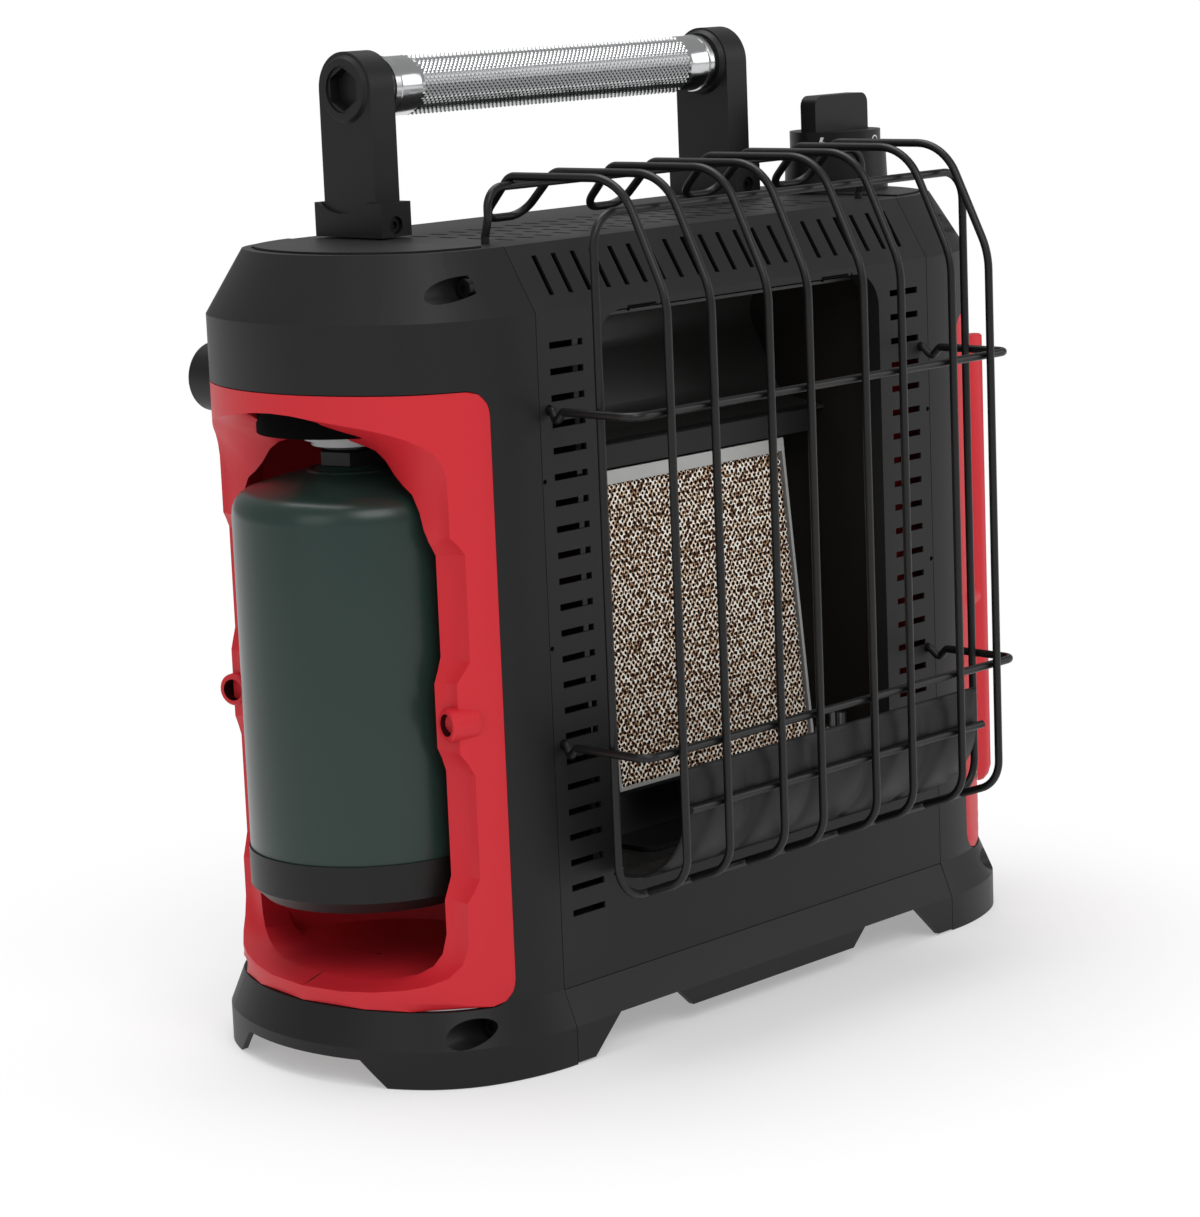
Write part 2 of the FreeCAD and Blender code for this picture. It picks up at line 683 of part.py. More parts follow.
def regulator_parts():
    """Swivelling regulator: body with its collar, cross pin and the bracket that carries the pin."""
    body = Part.makeCylinder(regulator_radius, regulator_high_z - regulator_low_z - 6, Vector(0, 0, regulator_low_z))
    cap = Part.makeCone(regulator_radius, 12, 6, Vector(0, 0, regulator_high_z - 6))
    collar = Part.makeCylinder(collar_radius, collar_height + 0.1, Vector(0, 0, regulator_low_z - collar_height))
    inlet = Part.makeCylinder(nose_radius + 0.1, nose_length + 1.0, Vector(0, 0, regulator_low_z - collar_height))
    body = fuse([body, cap, collar]).cut(inlet)
    pin = rod(swing_pin_radius, (0, -swing_pin_reach, swing_z), (0, swing_pin_reach, swing_z))
    pin_room = rod(swing_pin_radius + 0.01, (0, -swing_pin_reach, swing_z), (0, swing_pin_reach, swing_z))
    body = body.cut(pin_room)
    ears = []
    for sign in (-1, 1):
        ear = box(-9, 9, sign * (swing_pin_reach - 5), sign * swing_pin_reach, bay_ceiling_z + liner_wall + seat_gap,
                  swing_z + 9)
        ears.append(ear)
    bridge = box(-9, 9, -swing_pin_reach, swing_pin_reach, regulator_high_z + 6, regulator_high_z + 9)
    posts = [box(-9, 9, sign * (swing_pin_reach - 5), sign * swing_pin_reach, swing_z + 5, regulator_high_z + 9)
             for sign in (-1, 1)]
    bracket = fuse(ears + posts + [bridge])
    bracket = bracket.cut(rod(swing_pin_radius + running_gap, (0, -60, swing_z), (0, 60, swing_z)))
    return at_bottle(body), at_bottle(pin), at_bottle(bracket)


def hairpin(x0, x1):
    """One guard loop: two front bars joined by a drooping bend at the rear top."""
    middle = (x0 + x1) / 2
    end_y = guard_frame_y - 2 * wire_radius - wire_gap
    end_z = guard_low_z + guard_low_slope * (guard_frame_y - end_y)
    corner_z = guard_low_z + guard_low_slope * (guard_frame_y - guard_front_y)
    side0 = [(x0, end_y, end_z), (x0, guard_front_y, corner_z),
             (x0, guard_front_y, guard_slope_z),
             (x0, guard_front_y + guard_slope_run, guard_top_z), (x0, guard_back_y, guard_top_z)]
    side1 = [(x1,) + p[1:] for p in reversed(side0)]
    bend = [(x + (middle - x) * 0.1, guard_droop_y, guard_droop_z) for x in (x0, x1)]
    points = side0 + bend + side1
    radii = [14.0, 30.0, 22.0, 7.0, 8.0, 8.0, 7.0, 22.0, 30.0, 14.0]
    return wire_rod(points, radii)


def guard_frame():
    """Rounded loop of wire that stands off the front panel round the bars."""
    y, x = guard_frame_y, guard_frame_x
    low, high = guard_low_z, guard_frame_top
    points = [(0, y, high), (-x, y, high), (-x, y, low), (x, y, low), (x, y, high), (0, y, high)]
    return wire_rod(points, [12.0, 14.0, 14.0, 12.0])


def guard_cross(z):
    """Cross bar in front of the panel, with a bent end that hooks into it on each side."""
    y = guard_front_y + 2 * wire_radius + wire_gap
    left = [(-hook_entry_x, front_y + 3.0, z), (-hook_entry_x, front_y - 1.5, z),
            (-hook_x + 0.4, front_y - 5.0, z - hook_drop), (-hook_x, front_y - 9.0, z), (-hook_x, y, z)]
    right = [(-p[0], p[1], p[2]) for p in reversed(left)]
    return wire_rod(left + right, [1.8, 1.8, 1.8, 6.0, 6.0, 1.8, 1.8, 1.8])


def guard_support():
    """Bar under the guard's top runs, with a leg down into the top panel at each end."""
    z = guard_top_z - 2 * wire_radius - wire_gap
    left = [(-support_x, support_foot_y, top_z - 4.0), (-support_x, support_foot_y, top_z + 3.0),
            (-support_x, support_y, top_z + 10.0), (-support_x, support_y, z)]
    right = [(-p[0], p[1], p[2]) for p in reversed(left)]
    return wire_rod(left + right, [3.0, 3.0, 8.0, 8.0, 3.0, 3.0])


def guard_short_bar():
    y = guard_front_y + 2 * wire_radius + wire_gap
    return rod(wire_radius, (-deflector_half - 0.6, y, short_bar_z), (deflector_half + 0.6, y, short_bar_z))


def deflector():
    """Quarter-round heat shield that sits inside the lower part of the guard."""
    y = guard_front_y + 4 * wire_radius + 0.3
    points = [(y, deflector_high_z), (y, deflector_low_z), (front_y - 2.0, deflector_low_z)]
    return curved_sheet(points, deflector_radius, deflector_half)


def handle_arm():
    """Upright arm with a round head for the grip bolt."""
    x0, x1 = -arm_inner_x - arm_thickness, -arm_inner_x
    y0, y1 = handle_y - arm_half_width, handle_y + arm_half_width
    post = box(x0, x1, y0, y1, arm_foot_z, bolt_z)
    head = rod(arm_half_width, (x0, handle_y, bolt_z), (x1, handle_y, bolt_z))
    boss = Part.makeCone(arm_boss_radius, arm_boss_radius - 1.4, 1.4, Vector(x0, handle_y, bolt_z), Vector(-1, 0, 0))
    collar = Part.makeCone(arm_half_width - 0.8, arm_half_width - 2.2, 2.0, Vector(x1, handle_y, bolt_z), Vector(1, 0, 0))
    arm = fuse([post, head, boss, collar])
    bolt_room = rod(hex_across * 0.62, (x0 - 3, handle_y, bolt_z), (x0 + 6, handle_y, bolt_z))
    shank_room = rod(4.1, (x0, handle_y, bolt_z), (x1 + 6, handle_y, bolt_z))
    return arm.cut([bolt_room, shank_room])


def grip_bolt():
    """Socket-head bolt that holds the grip bar to the arm."""
    x0 = -arm_inner_x - arm_thickness
    head = rod(hex_across * 0.62 - 0.1, (x0 - 0.6, handle_y, bolt_z), (x0 + 6, handle_y, bolt_z))
    shank = rod(4.0, (x0 + 5, handle_y, bolt_z), (-arm_inner_x + 14, handle_y, bolt_z))
    radius = hex_across / math.sqrt(3)
    corners = [(x0 - 1, handle_y + radius * math.sin(math.radians(60 * k)),
                bolt_z + radius * math.cos(math.radians(60 * k))) for k in range(6)]
    socket = polygon_prism(corners, (5.4, 0, 0))
    return head.fuse(shank).removeSplitter().cut(socket)


def handle_bracket():
    """Socket on the top pad that holds the foot of the arm."""
    x0, x1 = -arm_inner_x - arm_thickness - bracket_side, -arm_inner_x + bracket_side
    y0, y1 = handle_y - arm_half_width - bracket_overhang, handle_y + arm_half_width + bracket_overhang
    block = box(x0, x1, y0, y1, top_z + pad_height, bracket_high_z)
    room = box(-arm_inner_x - arm_thickness - 0.05, -arm_inner_x + 0.05, handle_y - arm_half_width - 0.05,
               handle_y + arm_half_width + 0.05, arm_foot_z - 0.05, bracket_high_z + 5)
    scoop = rod(23.0, (x0 - 1, handle_y + 4, bracket_high_z + 18.6), (x0 + bracket_side, handle_y + 4, bracket_high_z + 18.6))
    screw_room = rod(handle_screw_radius + 1.6, (x0 + 8.0, y0 - 1, bracket_high_z - bracket_screw_drop),
                     (x0 + 8.0, y0 + 3, bracket_high_z - bracket_screw_drop))
    foot_step = box(-seam_x - 40, -pad_inner_x + 60, y0 - 1, y1 + 1, top_z, top_z + pad_height)
    return block.cut([room, scoop, screw_room, foot_step])


def bracket_screws():
    heads = []
    for sign in (-1, 1):
        x = sign * (arm_inner_x + arm_thickness + bracket_side - 8.0)
        y = handle_y - arm_half_width - bracket_overhang
        z = bracket_high_z - bracket_screw_drop
        head = rod(handle_screw_radius + 1.2, (x, y + 1.2, z), (x, y + 3.0, z))
        heads.append(head.cut(rod(1.5, (x, y, z), (x, y + 2.2, z))))
    return Part.makeCompound(heads)


def grip_bar():
    """Round bar with plain ends and a wider gripped middle."""
    reach = arm_inner_x - 2.1
    bar = rod(bar_end_radius, (-reach, handle_y, bolt_z), (reach, handle_y, bolt_z))
    middle = rod(bar_radius, (-reach + bar_plain, handle_y, bolt_z), (reach - bar_plain, handle_y, bolt_z))
    ends = [rod(4.1, (sign * reach, handle_y, bolt_z), (sign * (reach - 20), handle_y, bolt_z)) for sign in (-1, 1)]
    return fuse([bar, middle]).cut(ends)


def knob_parts():
    """Pedestal on the top pad, knob with its skirt and blade, and the stem to the valve."""
    x = knob_x
    low = top_z + pad_height
    pedestal = Part.makeCone(pedestal_radius, pedestal_radius - 0.6, pedestal_top_z - low, Vector(x, 0, low))
    base = pedestal_top_z - knob_travel
    cup_floor = base - knob_travel - 0.6
    pedestal = pedestal.cut(Part.makeCylinder(stem_radius + running_gap, 60, Vector(x, 0, low - 10)))
    pedestal = pedestal.cut(Part.makeCylinder(knob_skirt_radius + 0.3, 60, Vector(x, 0, cup_floor)))
    skirt = Part.makeCylinder(knob_skirt_radius, knob_skirt_top_z - base, Vector(x, 0, base))
    blade = box(x - blade_length / 2, x + blade_length / 2, -blade_width / 2, blade_width / 2,
                knob_skirt_top_z - 1, knob_top_z)
    corners = [e for e in blade.Edges if abs(e.Vertexes[0].Point.y - e.Vertexes[-1].Point.y) > 1
               and e.Vertexes[0].Point.z > knob_top_z - 1]
    blade = blade.makeFillet(4.5, corners)
    socket_top = base + 8.0
    knob = fuse([skirt, blade]).cut(Part.makeCylinder(stem_radius + running_gap, 9.0, Vector(x, 0, socket_top - 9.0)))
    stem = Part.makeCylinder(stem_radius, socket_top - 0.1 - stem_low_z, Vector(x, 0, stem_low_z))
    pieces = (pedestal, knob, stem)
    for piece in pieces:
        piece.translate(Vector(0, knob_y, 0))
    return pieces


def gas_valve():
    """Valve body under the knob, with the stem's bore and the two gas ports."""
    x, low = knob_x, regulator_high_z + 9 + seat_gap
    body = box(x - 12, x + 12, -14, 14, low, valve_body_high_z)
    bore = rod(stem_radius + running_gap, (x, knob_y, stem_low_z - knob_travel - 0.7),
               (x, knob_y, valve_body_high_z + 5))
    return body.cut(bore)


def gas_pipes():
    """Pipe between the two swivels, and the feed from the valve to the burner's jet."""
    reach = bottle_x - 9 - seat_gap
    y = swing_pin_reach - 2.5
    cross = rod(pipe_radius, (-reach, y, swing_z), (reach, y, swing_z))
    end_x = knob_x - 12 - seat_gap
    z = 306.0
    feed = wire_rod([(16, jet_y, jet_z), (pipe_x, jet_y, jet_z), (pipe_x, jet_y, z), (pipe_x, 0, z), (end_x, 0, z)],
                    [12.0, 12.0, 12.0], pipe_radius)
    jet = rod(9.0, (0, jet_y - 9, jet_z), (0, jet_y + 6, jet_z)).fuse(rod(5.0, (0, jet_y, jet_z), (16 - seat_gap, jet_y, jet_z)))
    return cross, feed, jet.removeSplitter()


def pipe_holes():
    y = swing_pin_reach - 2.5
    reach = seam_x
    return [rod(pipe_radius + 1.0, (-reach, y, swing_z), (-fire_half + 5, y, swing_z)),
            rod(pipe_radius + 1.0, (-reach, jet_y, jet_z), (-fire_half + 5, jet_y, jet_z))]


def rear_port():
    """Hose inlet at the rear of the left housing, with its pull-off cap."""
    start = swing_pin_reach + seat_gap
    cap_start = port_end_y - port_cap_length
    port = rod(port_radius, (-port_x, port_body_y, port_z), (-port_x, cap_start - seat_gap, port_z))
    port = port.fuse(rod(port_tube_radius, (-port_x, start, port_z), (-port_x, port_body_y, port_z)))
    nose = rod(port_nose_radius, (-port_x, cap_start - 2, port_z), (-port_x, port_end_y - 3, port_z))
    bore = rod(port_bore_radius, (-port_x, cap_start - 8, port_z), (-port_x, port_end_y, port_z))
    port = port.fuse(nose).removeSplitter().cut(bore)
    cap = rod(port_radius, (-port_x, cap_start, port_z), (-port_x, port_end_y, port_z))
    cap = cap.cut(rod(port_nose_radius + 0.06, (-port_x, cap_start - 5, port_z), (-port_x, port_end_y - 2.4, port_z)))
    return port, cap


def pilot_burner():
    """Pilot jet, spark rod and heat sensor on one bracket in front of the plaque's foot."""
    y, z = front_y + opening_lip + 14, fire_floor_z + sheet
    plate = box(64, 86, y - 5, y + 5, z, z + sheet)
    tube = rod(3.2, (69, y, z), (69, y, z + 30))
    spark = rod(1.2, (76, y, z), (76, y, z + 38))
    sensor = rod(2.0, (82, y, z), (82, y, z + 34))
    return fuse([plate, tube, spark, sensor])


def housing_screws():
    """Screws in the recesses of the left housing."""
    heads = []
    for spec in (shoulder_recess, base_recess):
        floor = spec["floor_x"]
        sockets = recess(spec, 1.6, floor + 1.2, floor + 5)
        for head, socket in zip(recess(spec, screw_head_radius, floor, floor + screw_head_height), sockets):
            heads.append(head.cut(socket))
    return Part.makeCompound(heads)


parts = {}


def add_sides(name, shape):
    for label, side in left_and_right:
        parts[f"{name}_{label}"] = on_side(shape, side)


def build():
    housing, knob_bore, port_bore = end_housing()
    parts["end_housing_left"] = housing.cut(port_bore)
    parts["end_housing_right"] = mirror_x(housing.cut(knob_bore))
    panel = bay_panel()
    parts["bay_panel_left"] = panel.cut(port_bore)
    parts["bay_panel_right"] = mirror_x(panel)
    parts["front_panel"] = front_panel()
    parts["top_panel"] = top_panel()
    parts["rear_panel"] = rear_panel()
    parts["base_skirt_front"] = base_skirt(True)
    parts["base_skirt_rear"] = base_skirt(False)
    parts["base_plate"] = base_plate()
    add_sides("side_frame", side_frame())
    parts["fire_floor"], parts["pilot_shield"] = fire_floor()
    parts["upper_reflector"] = upper_reflector()
    parts["ceramic_plaque"], parts["burner_frame"], parts["burner_housing"] = burner_parts()
    body, foot, valve = bottle_parts()
    add_sides("bottle", body)
    add_sides("bottle_foot", foot)
    add_sides("bottle_valve", valve)
    regulator, pin, bracket = regulator_parts()
    add_sides("regulator", regulator)
    add_sides("regulator_pin", pin)
    add_sides("regulator_bracket", bracket)
    x = guard_wire_x
    for index, (x0, x1) in enumerate(((-x[3], -x[2]), (-x[1], -x[0]), (x[0], x[1]), (x[2], x[3]))):
        parts[f"guard_hairpin_{index + 1}"] = hairpin(x0, x1)
    parts["guard_frame"] = guard_frame()
    parts["guard_cross_upper"] = guard_cross(hook_z[0])
    parts["guard_cross_lower"] = guard_cross(hook_z[1])
    parts["guard_support"] = guard_support()
    parts["guard_short_bar"] = guard_short_bar()
    parts["deflector"] = deflector()
    add_sides("handle_arm", handle_arm())
    add_sides("handle_bracket", handle_bracket())
    add_sides("grip_bolt", grip_bolt())
    parts["bracket_screws"] = bracket_screws()
    parts["grip_bar"] = grip_bar()
    parts["knob_pedestal"], parts["control_knob"], parts["knob_stem"] = knob_parts()
    parts["gas_valve"] = gas_valve()
    parts["gas_cross_pipe"], parts["gas_feed_pipe"], parts["gas_jet"] = gas_pipes()
    parts["rear_port"], parts["port_cap"] = rear_port()
    parts["pilot_burner"] = pilot_burner()
    add_sides("housing_screws", housing_screws())


build()
os.makedirs("parts", exist_ok=True)
set_back = (wire_radius - guard_front_y - body_depth / 2 - base_flare) / 2
for name, shape in parts.items():
    shape.translate(Vector(0, set_back, 0))
    print(f"{name}: {len(shape.Solids)} solids, valid {shape.isValid()}, {shape.Volume / 1000:.1f} cm3")
    shape.exportStep(f"parts/{name}.step")
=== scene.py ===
import math

import bmesh
import bpy
from mathutils import Matrix, Vector


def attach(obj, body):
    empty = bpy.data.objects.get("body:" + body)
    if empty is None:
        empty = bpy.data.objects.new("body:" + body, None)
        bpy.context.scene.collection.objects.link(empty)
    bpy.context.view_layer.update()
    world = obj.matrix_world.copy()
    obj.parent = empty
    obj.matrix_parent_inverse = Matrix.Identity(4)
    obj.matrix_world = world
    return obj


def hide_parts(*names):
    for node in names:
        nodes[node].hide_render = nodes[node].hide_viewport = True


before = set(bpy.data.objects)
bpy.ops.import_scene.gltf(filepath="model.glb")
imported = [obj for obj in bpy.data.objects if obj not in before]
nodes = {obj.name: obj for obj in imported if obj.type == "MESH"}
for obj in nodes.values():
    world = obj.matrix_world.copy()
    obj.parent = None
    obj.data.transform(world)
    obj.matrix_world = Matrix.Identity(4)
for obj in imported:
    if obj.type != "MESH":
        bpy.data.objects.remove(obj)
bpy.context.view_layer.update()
mm = 0.001
setBack = 22.225  # the body's middle behind the frame's, since the guard stands out in front
print("frame loaded")


def place(x, y, z):
    # a point in millimetres about the body's middle, in the shared frame
    return Vector((x * mm, (y + setBack) * mm, z * mm))


# Materials

def linear(code):
    values = [int(code[i:i + 2], 16) / 255 for i in (0, 2, 4)]
    return tuple(v / 12.92 if v <= 0.04045 else ((v + 0.055) / 1.055) ** 2.4 for v in values)


def newGroup(name, inputs, outputs):
    group = bpy.data.node_groups.new(name, "ShaderNodeTree")
    for label, kind, value in inputs:
        socket = group.interface.new_socket(name=label, in_out="INPUT", socket_type=kind)
        if value is not None:
            socket.default_value = value
    for label, kind in outputs:
        group.interface.new_socket(name=label, in_out="OUTPUT", socket_type=kind)
    start = group.nodes.new("NodeGroupInput")
    end = group.nodes.new("NodeGroupOutput")
    return group, start, end


# Fine surface grain: a bumped normal and a roughness that wanders a little

grain = {"fineDetail": 2.0, "bump": 0.2, "broadScale": 22.0, "broadDetail": 4.0, "middle": 0.5}


def makeGrainGroup():
    inputs = [("Scale", "NodeSocketFloat", 900.0), ("Depth", "NodeSocketFloat", 0.1),
              ("Roughness", "NodeSocketFloat", 0.5), ("Wander", "NodeSocketFloat", 0.06)]
    group, start, end = newGroup("surfaceGrain", inputs,
                                 [("Normal", "NodeSocketVector"), ("Roughness", "NodeSocketFloat")])
    add, link = group.nodes.new, group.links.new
    where = add("ShaderNodeTexCoord")
    fine = add("ShaderNodeTexNoise")
    link(where.outputs["Object"], fine.inputs["Vector"])
    link(start.outputs["Scale"], fine.inputs["Scale"])
    fine.inputs["Detail"].default_value = grain["fineDetail"]
    bump = add("ShaderNodeBump")
    bump.inputs["Distance"].default_value = grain["bump"] * mm
    link(start.outputs["Depth"], bump.inputs["Strength"])
    link(fine.outputs["Fac"], bump.inputs["Height"])
    broad = add("ShaderNodeTexNoise")
    link(where.outputs["Object"], broad.inputs["Vector"])
    broad.inputs["Scale"].default_value = grain["broadScale"]
    broad.inputs["Detail"].default_value = grain["broadDetail"]
    shift = add("ShaderNodeMath")
    shift.operation = "SUBTRACT"
    link(broad.outputs["Fac"], shift.inputs[0])
    shift.inputs[1].default_value = grain["middle"]
    scaled = add("ShaderNodeMath")
    scaled.operation = "MULTIPLY_ADD"
    link(shift.outputs[0], scaled.inputs[0])
    link(start.outputs["Wander"], scaled.inputs[1])
    link(start.outputs["Roughness"], scaled.inputs[2])
    link(bump.outputs["Normal"], end.inputs["Normal"])
    link(scaled.outputs[0], end.inputs["Roughness"])
    return group


grainGroup = makeGrainGroup()
coatRough = 0.2


def makeMaterial(name, code, metallic=0.0, roughness=0.5, wander=0.06, scale=900.0, depth=0.1,
                 coat=0.0, specular=0.5):
    material = bpy.data.materials.new(name)
    material.use_nodes = True
    tree = material.node_tree
    shader = tree.nodes["Principled BSDF"]
    shader.inputs["Base Color"].default_value = (*linear(code), 1)
    shader.inputs["Metallic"].default_value = metallic
    shader.inputs["Coat Weight"].default_value = coat
    shader.inputs["Coat Roughness"].default_value = coatRough
    shader.inputs["Specular IOR Level"].default_value = specular
    surface = tree.nodes.new("ShaderNodeGroup")
    surface.node_tree = grainGroup
    surface.inputs["Scale"].default_value = scale
    surface.inputs["Depth"].default_value = depth
    surface.inputs["Roughness"].default_value = roughness
    surface.inputs["Wander"].default_value = wander
    tree.links.new(surface.outputs["Normal"], shader.inputs["Normal"])
    tree.links.new(surface.outputs["Roughness"], shader.inputs["Roughness"])
    return material


# Fired ceramic in patches from scorched to pale: each colour with its place on the noise
plaqueLook = {"patch": 1.5, "detail": 2.0,
              "colours": [(0.40, "4f2d1b"), (0.48, "c9a27a"), (0.56, "fffaf0")]}


def makePlaqueMaterial():
    material = makeMaterial("firedCeramic", "e6dcc6", roughness=0.8, depth=0.2, scale=700.0)
    tree = material.node_tree
    add, link = tree.nodes.new, tree.links.new
    where = add("ShaderNodeTexCoord")
    patches = add("ShaderNodeTexNoise")
    patches.inputs["Scale"].default_value = 1 / (plaqueLook["patch"] * mm)
    patches.inputs["Detail"].default_value = plaqueLook["detail"]
    link(where.outputs["Object"], patches.inputs["Vector"])
    ramp = add("ShaderNodeValToRGB")
    stops = ramp.color_ramp.elements
    (first, dark), (middle, warm), (last, pale) = plaqueLook["colours"]
    stops[0].position, stops[0].color = first, (*linear(dark), 1)
    stops[1].position, stops[1].color = last, (*linear(pale), 1)
    stops.new(middle).color = (*linear(warm), 1)
    link(patches.outputs["Fac"], ramp.inputs["Fac"])
    link(ramp.outputs["Color"], tree.nodes["Principled BSDF"].inputs["Base Color"])
    return material


materials = {
    "housing": makeMaterial("mouldedCharcoal", "161616", roughness=0.46, depth=0.1, specular=0.28),
    "knob": makeMaterial("knobPlastic", "0b0b0b", roughness=0.4, depth=0.08, specular=0.28),
    "red": makeMaterial("redPlastic", "c9242e", roughness=0.45, depth=0.05, wander=0.05,
                        specular=0.3),
    # dark red painted shade for the inside of the bosses' blind holes
    "redHoleShade": makeMaterial("paintedRedHoleShade", "3a070a", roughness=0.7, specular=0.1),
    # near-black painted shade for the unlit base plate, the hollow above each bay and the slots over
    # the fire mouth
    "paintedShadeBlack": makeMaterial("paintedShadeInside", "050505", roughness=0.9, specular=0.05),
    "steel": makeMaterial("satinBlackSteel", "181818", roughness=0.5, depth=0.08, scale=1400.0,
                          specular=0.3),
    "wire": makeMaterial("coatedWire", "101010", roughness=0.38, depth=0.05, scale=1600.0,
                         specular=0.35),
    # steel a little darker than the outer panels, for the parts inside the fire mouth
    "darkInside": makeMaterial("darkInnerSteel", "101010", roughness=0.5, depth=0.1, specular=0.25),
    "sideWall": makeMaterial("firedSideSteel", "1b1815", roughness=0.42, depth=0.05, specular=0.4),
    "reflector": makeMaterial("reflectorSteel", "262625", roughness=0.38, depth=0.05, specular=0.5),
    "green": makeMaterial("bottleGreen", "1f322d", roughness=0.32, depth=0.03, coat=0.12,
                          specular=0.32),
    "foot": makeMaterial("bottleFoot", "121212", roughness=0.42, depth=0.06, specular=0.3),
    "cast": makeMaterial("castZinc", "a9aaab", metallic=0.6, roughness=0.45, depth=0.15,
                         scale=500.0),
    "valve": makeMaterial("blackValve", "141414", roughness=0.4, depth=0.08, specular=0.3),
    "chrome": makeMaterial("polishedChrome", "c9cacb", metallic=1.0, roughness=0.16, depth=0.02),
    "bright": makeMaterial("brightSteel", "c4c4c4", metallic=1.0, roughness=0.32, depth=0.05),
    "brass": makeMaterial("plainBrass", "b8975a", metallic=1.0, roughness=0.35, depth=0.05),
    "screw": makeMaterial("blackScrew", "161617", metallic=0.6, roughness=0.35, depth=0.05),
    "mark": makeMaterial("paintedMark", "d6d6d6", roughness=0.6, depth=0.02),
    "plaque": makePlaqueMaterial(),
    "plaqueHoleShade": makeMaterial("paintedHoleShade", "0e0806", roughness=0.9, specular=0.1),
    "strip": makeMaterial("dullSteelStrip", "b4b4b2", metallic=0.5, roughness=0.5, depth=0.05),
}

finishes = {
    "housing": ["end_housing_left", "end_housing_right", "handle_bracket_left",
                "handle_bracket_right", "handle_arm_left", "handle_arm_right", "rear_port",
                "port_cap", "grip_bolt_left", "grip_bolt_right"],
    "knob": ["knob_pedestal", "control_knob"],
    "red": ["bay_panel_left", "bay_panel_right"],
    "steel": ["front_panel", "top_panel", "rear_panel", "base_skirt_front", "base_skirt_rear",
              "deflector"],
    "wire": ["guard_hairpin_1", "guard_hairpin_2", "guard_hairpin_3", "guard_hairpin_4",
             "guard_frame", "guard_cross_upper", "guard_cross_lower", "guard_support",
             "guard_short_bar"],
    "darkInside": ["pilot_shield", "burner_housing"],
    "paintedShadeBlack": ["base_plate"],
    "sideWall": ["side_frame_left", "side_frame_right"],
    "reflector": ["upper_reflector", "fire_floor"],
    "green": ["bottle_left", "bottle_right"],
    "foot": ["bottle_foot_left", "bottle_foot_right"],
    "cast": ["regulator_left", "regulator_right", "regulator_pin_left", "regulator_pin_right",
             "regulator_bracket_left", "regulator_bracket_right"],
    "valve": ["bottle_valve_left", "bottle_valve_right"],
    "chrome": ["grip_bar"],
    "bright": ["burner_frame", "pilot_burner", "knob_stem"],
    "brass": ["gas_valve", "gas_cross_pipe", "gas_feed_pipe", "gas_jet"],
    "screw": ["housing_screws_left", "housing_screws_right", "bracket_screws"],
    "plaque": ["ceramic_plaque"],
}

for finish, names in finishes.items():
    for name in names:
        slots = nodes[name].data.materials
        slots.clear()
        slots.append(materials[finish])
print("materials set")


# Pieces

def finishPiece(name, shape, looks, body, replaced=(), smoothAngle=40.0):
    # writes the shape to a mesh, gives it its materials and hangs it on its body
    bmesh.ops.recalc_face_normals(shape, faces=shape.faces)
    for face in shape.faces:
        face.smooth = True
    for edge in shape.edges:
        if len(edge.link_faces) == 2 and edge.calc_face_angle(0) > math.radians(smoothAngle):
            edge.smooth = False
    mesh = bpy.data.meshes.new(name)
    shape.to_mesh(mesh)
    shape.free()
    for look in looks:
        mesh.materials.append(materials[look])
    piece = bpy.data.objects.new(name, mesh)
    bpy.context.scene.collection.objects.link(piece)
    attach(piece, body)
    if replaced:
        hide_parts(*replaced)
    return piece


def spinProfile(shape, profile, centre, steps, axis=(0, 0, 1), turn=360.0):
    # turns a chain of points about an axis; a chain that starts or ends on the axis is closed there
    known = set(shape.verts)
    verts = [shape.verts.new(point) for point in profile]
    edges = [shape.edges.new(pair) for pair in zip(verts, verts[1:])]
    bmesh.ops.spin(shape, geom=verts + edges, cent=centre, axis=axis, angle=math.radians(turn),
                   steps=steps, use_merge=turn == 360.0)
    made = [vertex for vertex in shape.verts if vertex not in known]
    bmesh.ops.remove_doubles(shape, verts=made, dist=0.001 * mm)


def addSheet(shape, rows):
    # a sheet of quads through rows of points, each row as long as the others
    across, down = len(rows[0]) - 1, len(rows) - 1
    made = bmesh.ops.create_grid(shape, x_segments=across, y_segments=down, size=1.0)
    for vertex in made["verts"]:
        column = round((vertex.co.x + 1) / 2 * across)
        row = round((vertex.co.y + 1) / 2 * down)
        vertex.co = rows[row][column]


def addBox(shape, low, high, stand):
    # a box between two corners in millimetres, carried to its place by the matrix stand
    low, high = Vector(low) * mm, Vector(high) * mm
    middle, stretch = Matrix.Translation((low + high) / 2), Matrix.Diagonal((*(high - low), 1.0))
    bmesh.ops.create_cube(shape, size=1.0, matrix=stand @ middle @ stretch)


# Carry handle's bar: plain ends as distance from the bar's end and radius, then a diamond knurl

grip = {"y": 31.7, "z": 378.6, "reach": 97.2, "around": 64,
        "ends": [(0.0, 10.4), (2.0, 10.4), (2.0, 12.1), (4.6, 12.3), (5.0, 11.3), (5.6, 11.9),
                 (15.9, 11.9)],
        "knurlReach": 80.5, "knurlRadius": 11.7, "knurlStep": 1.15, "knurlDepth": 0.42}


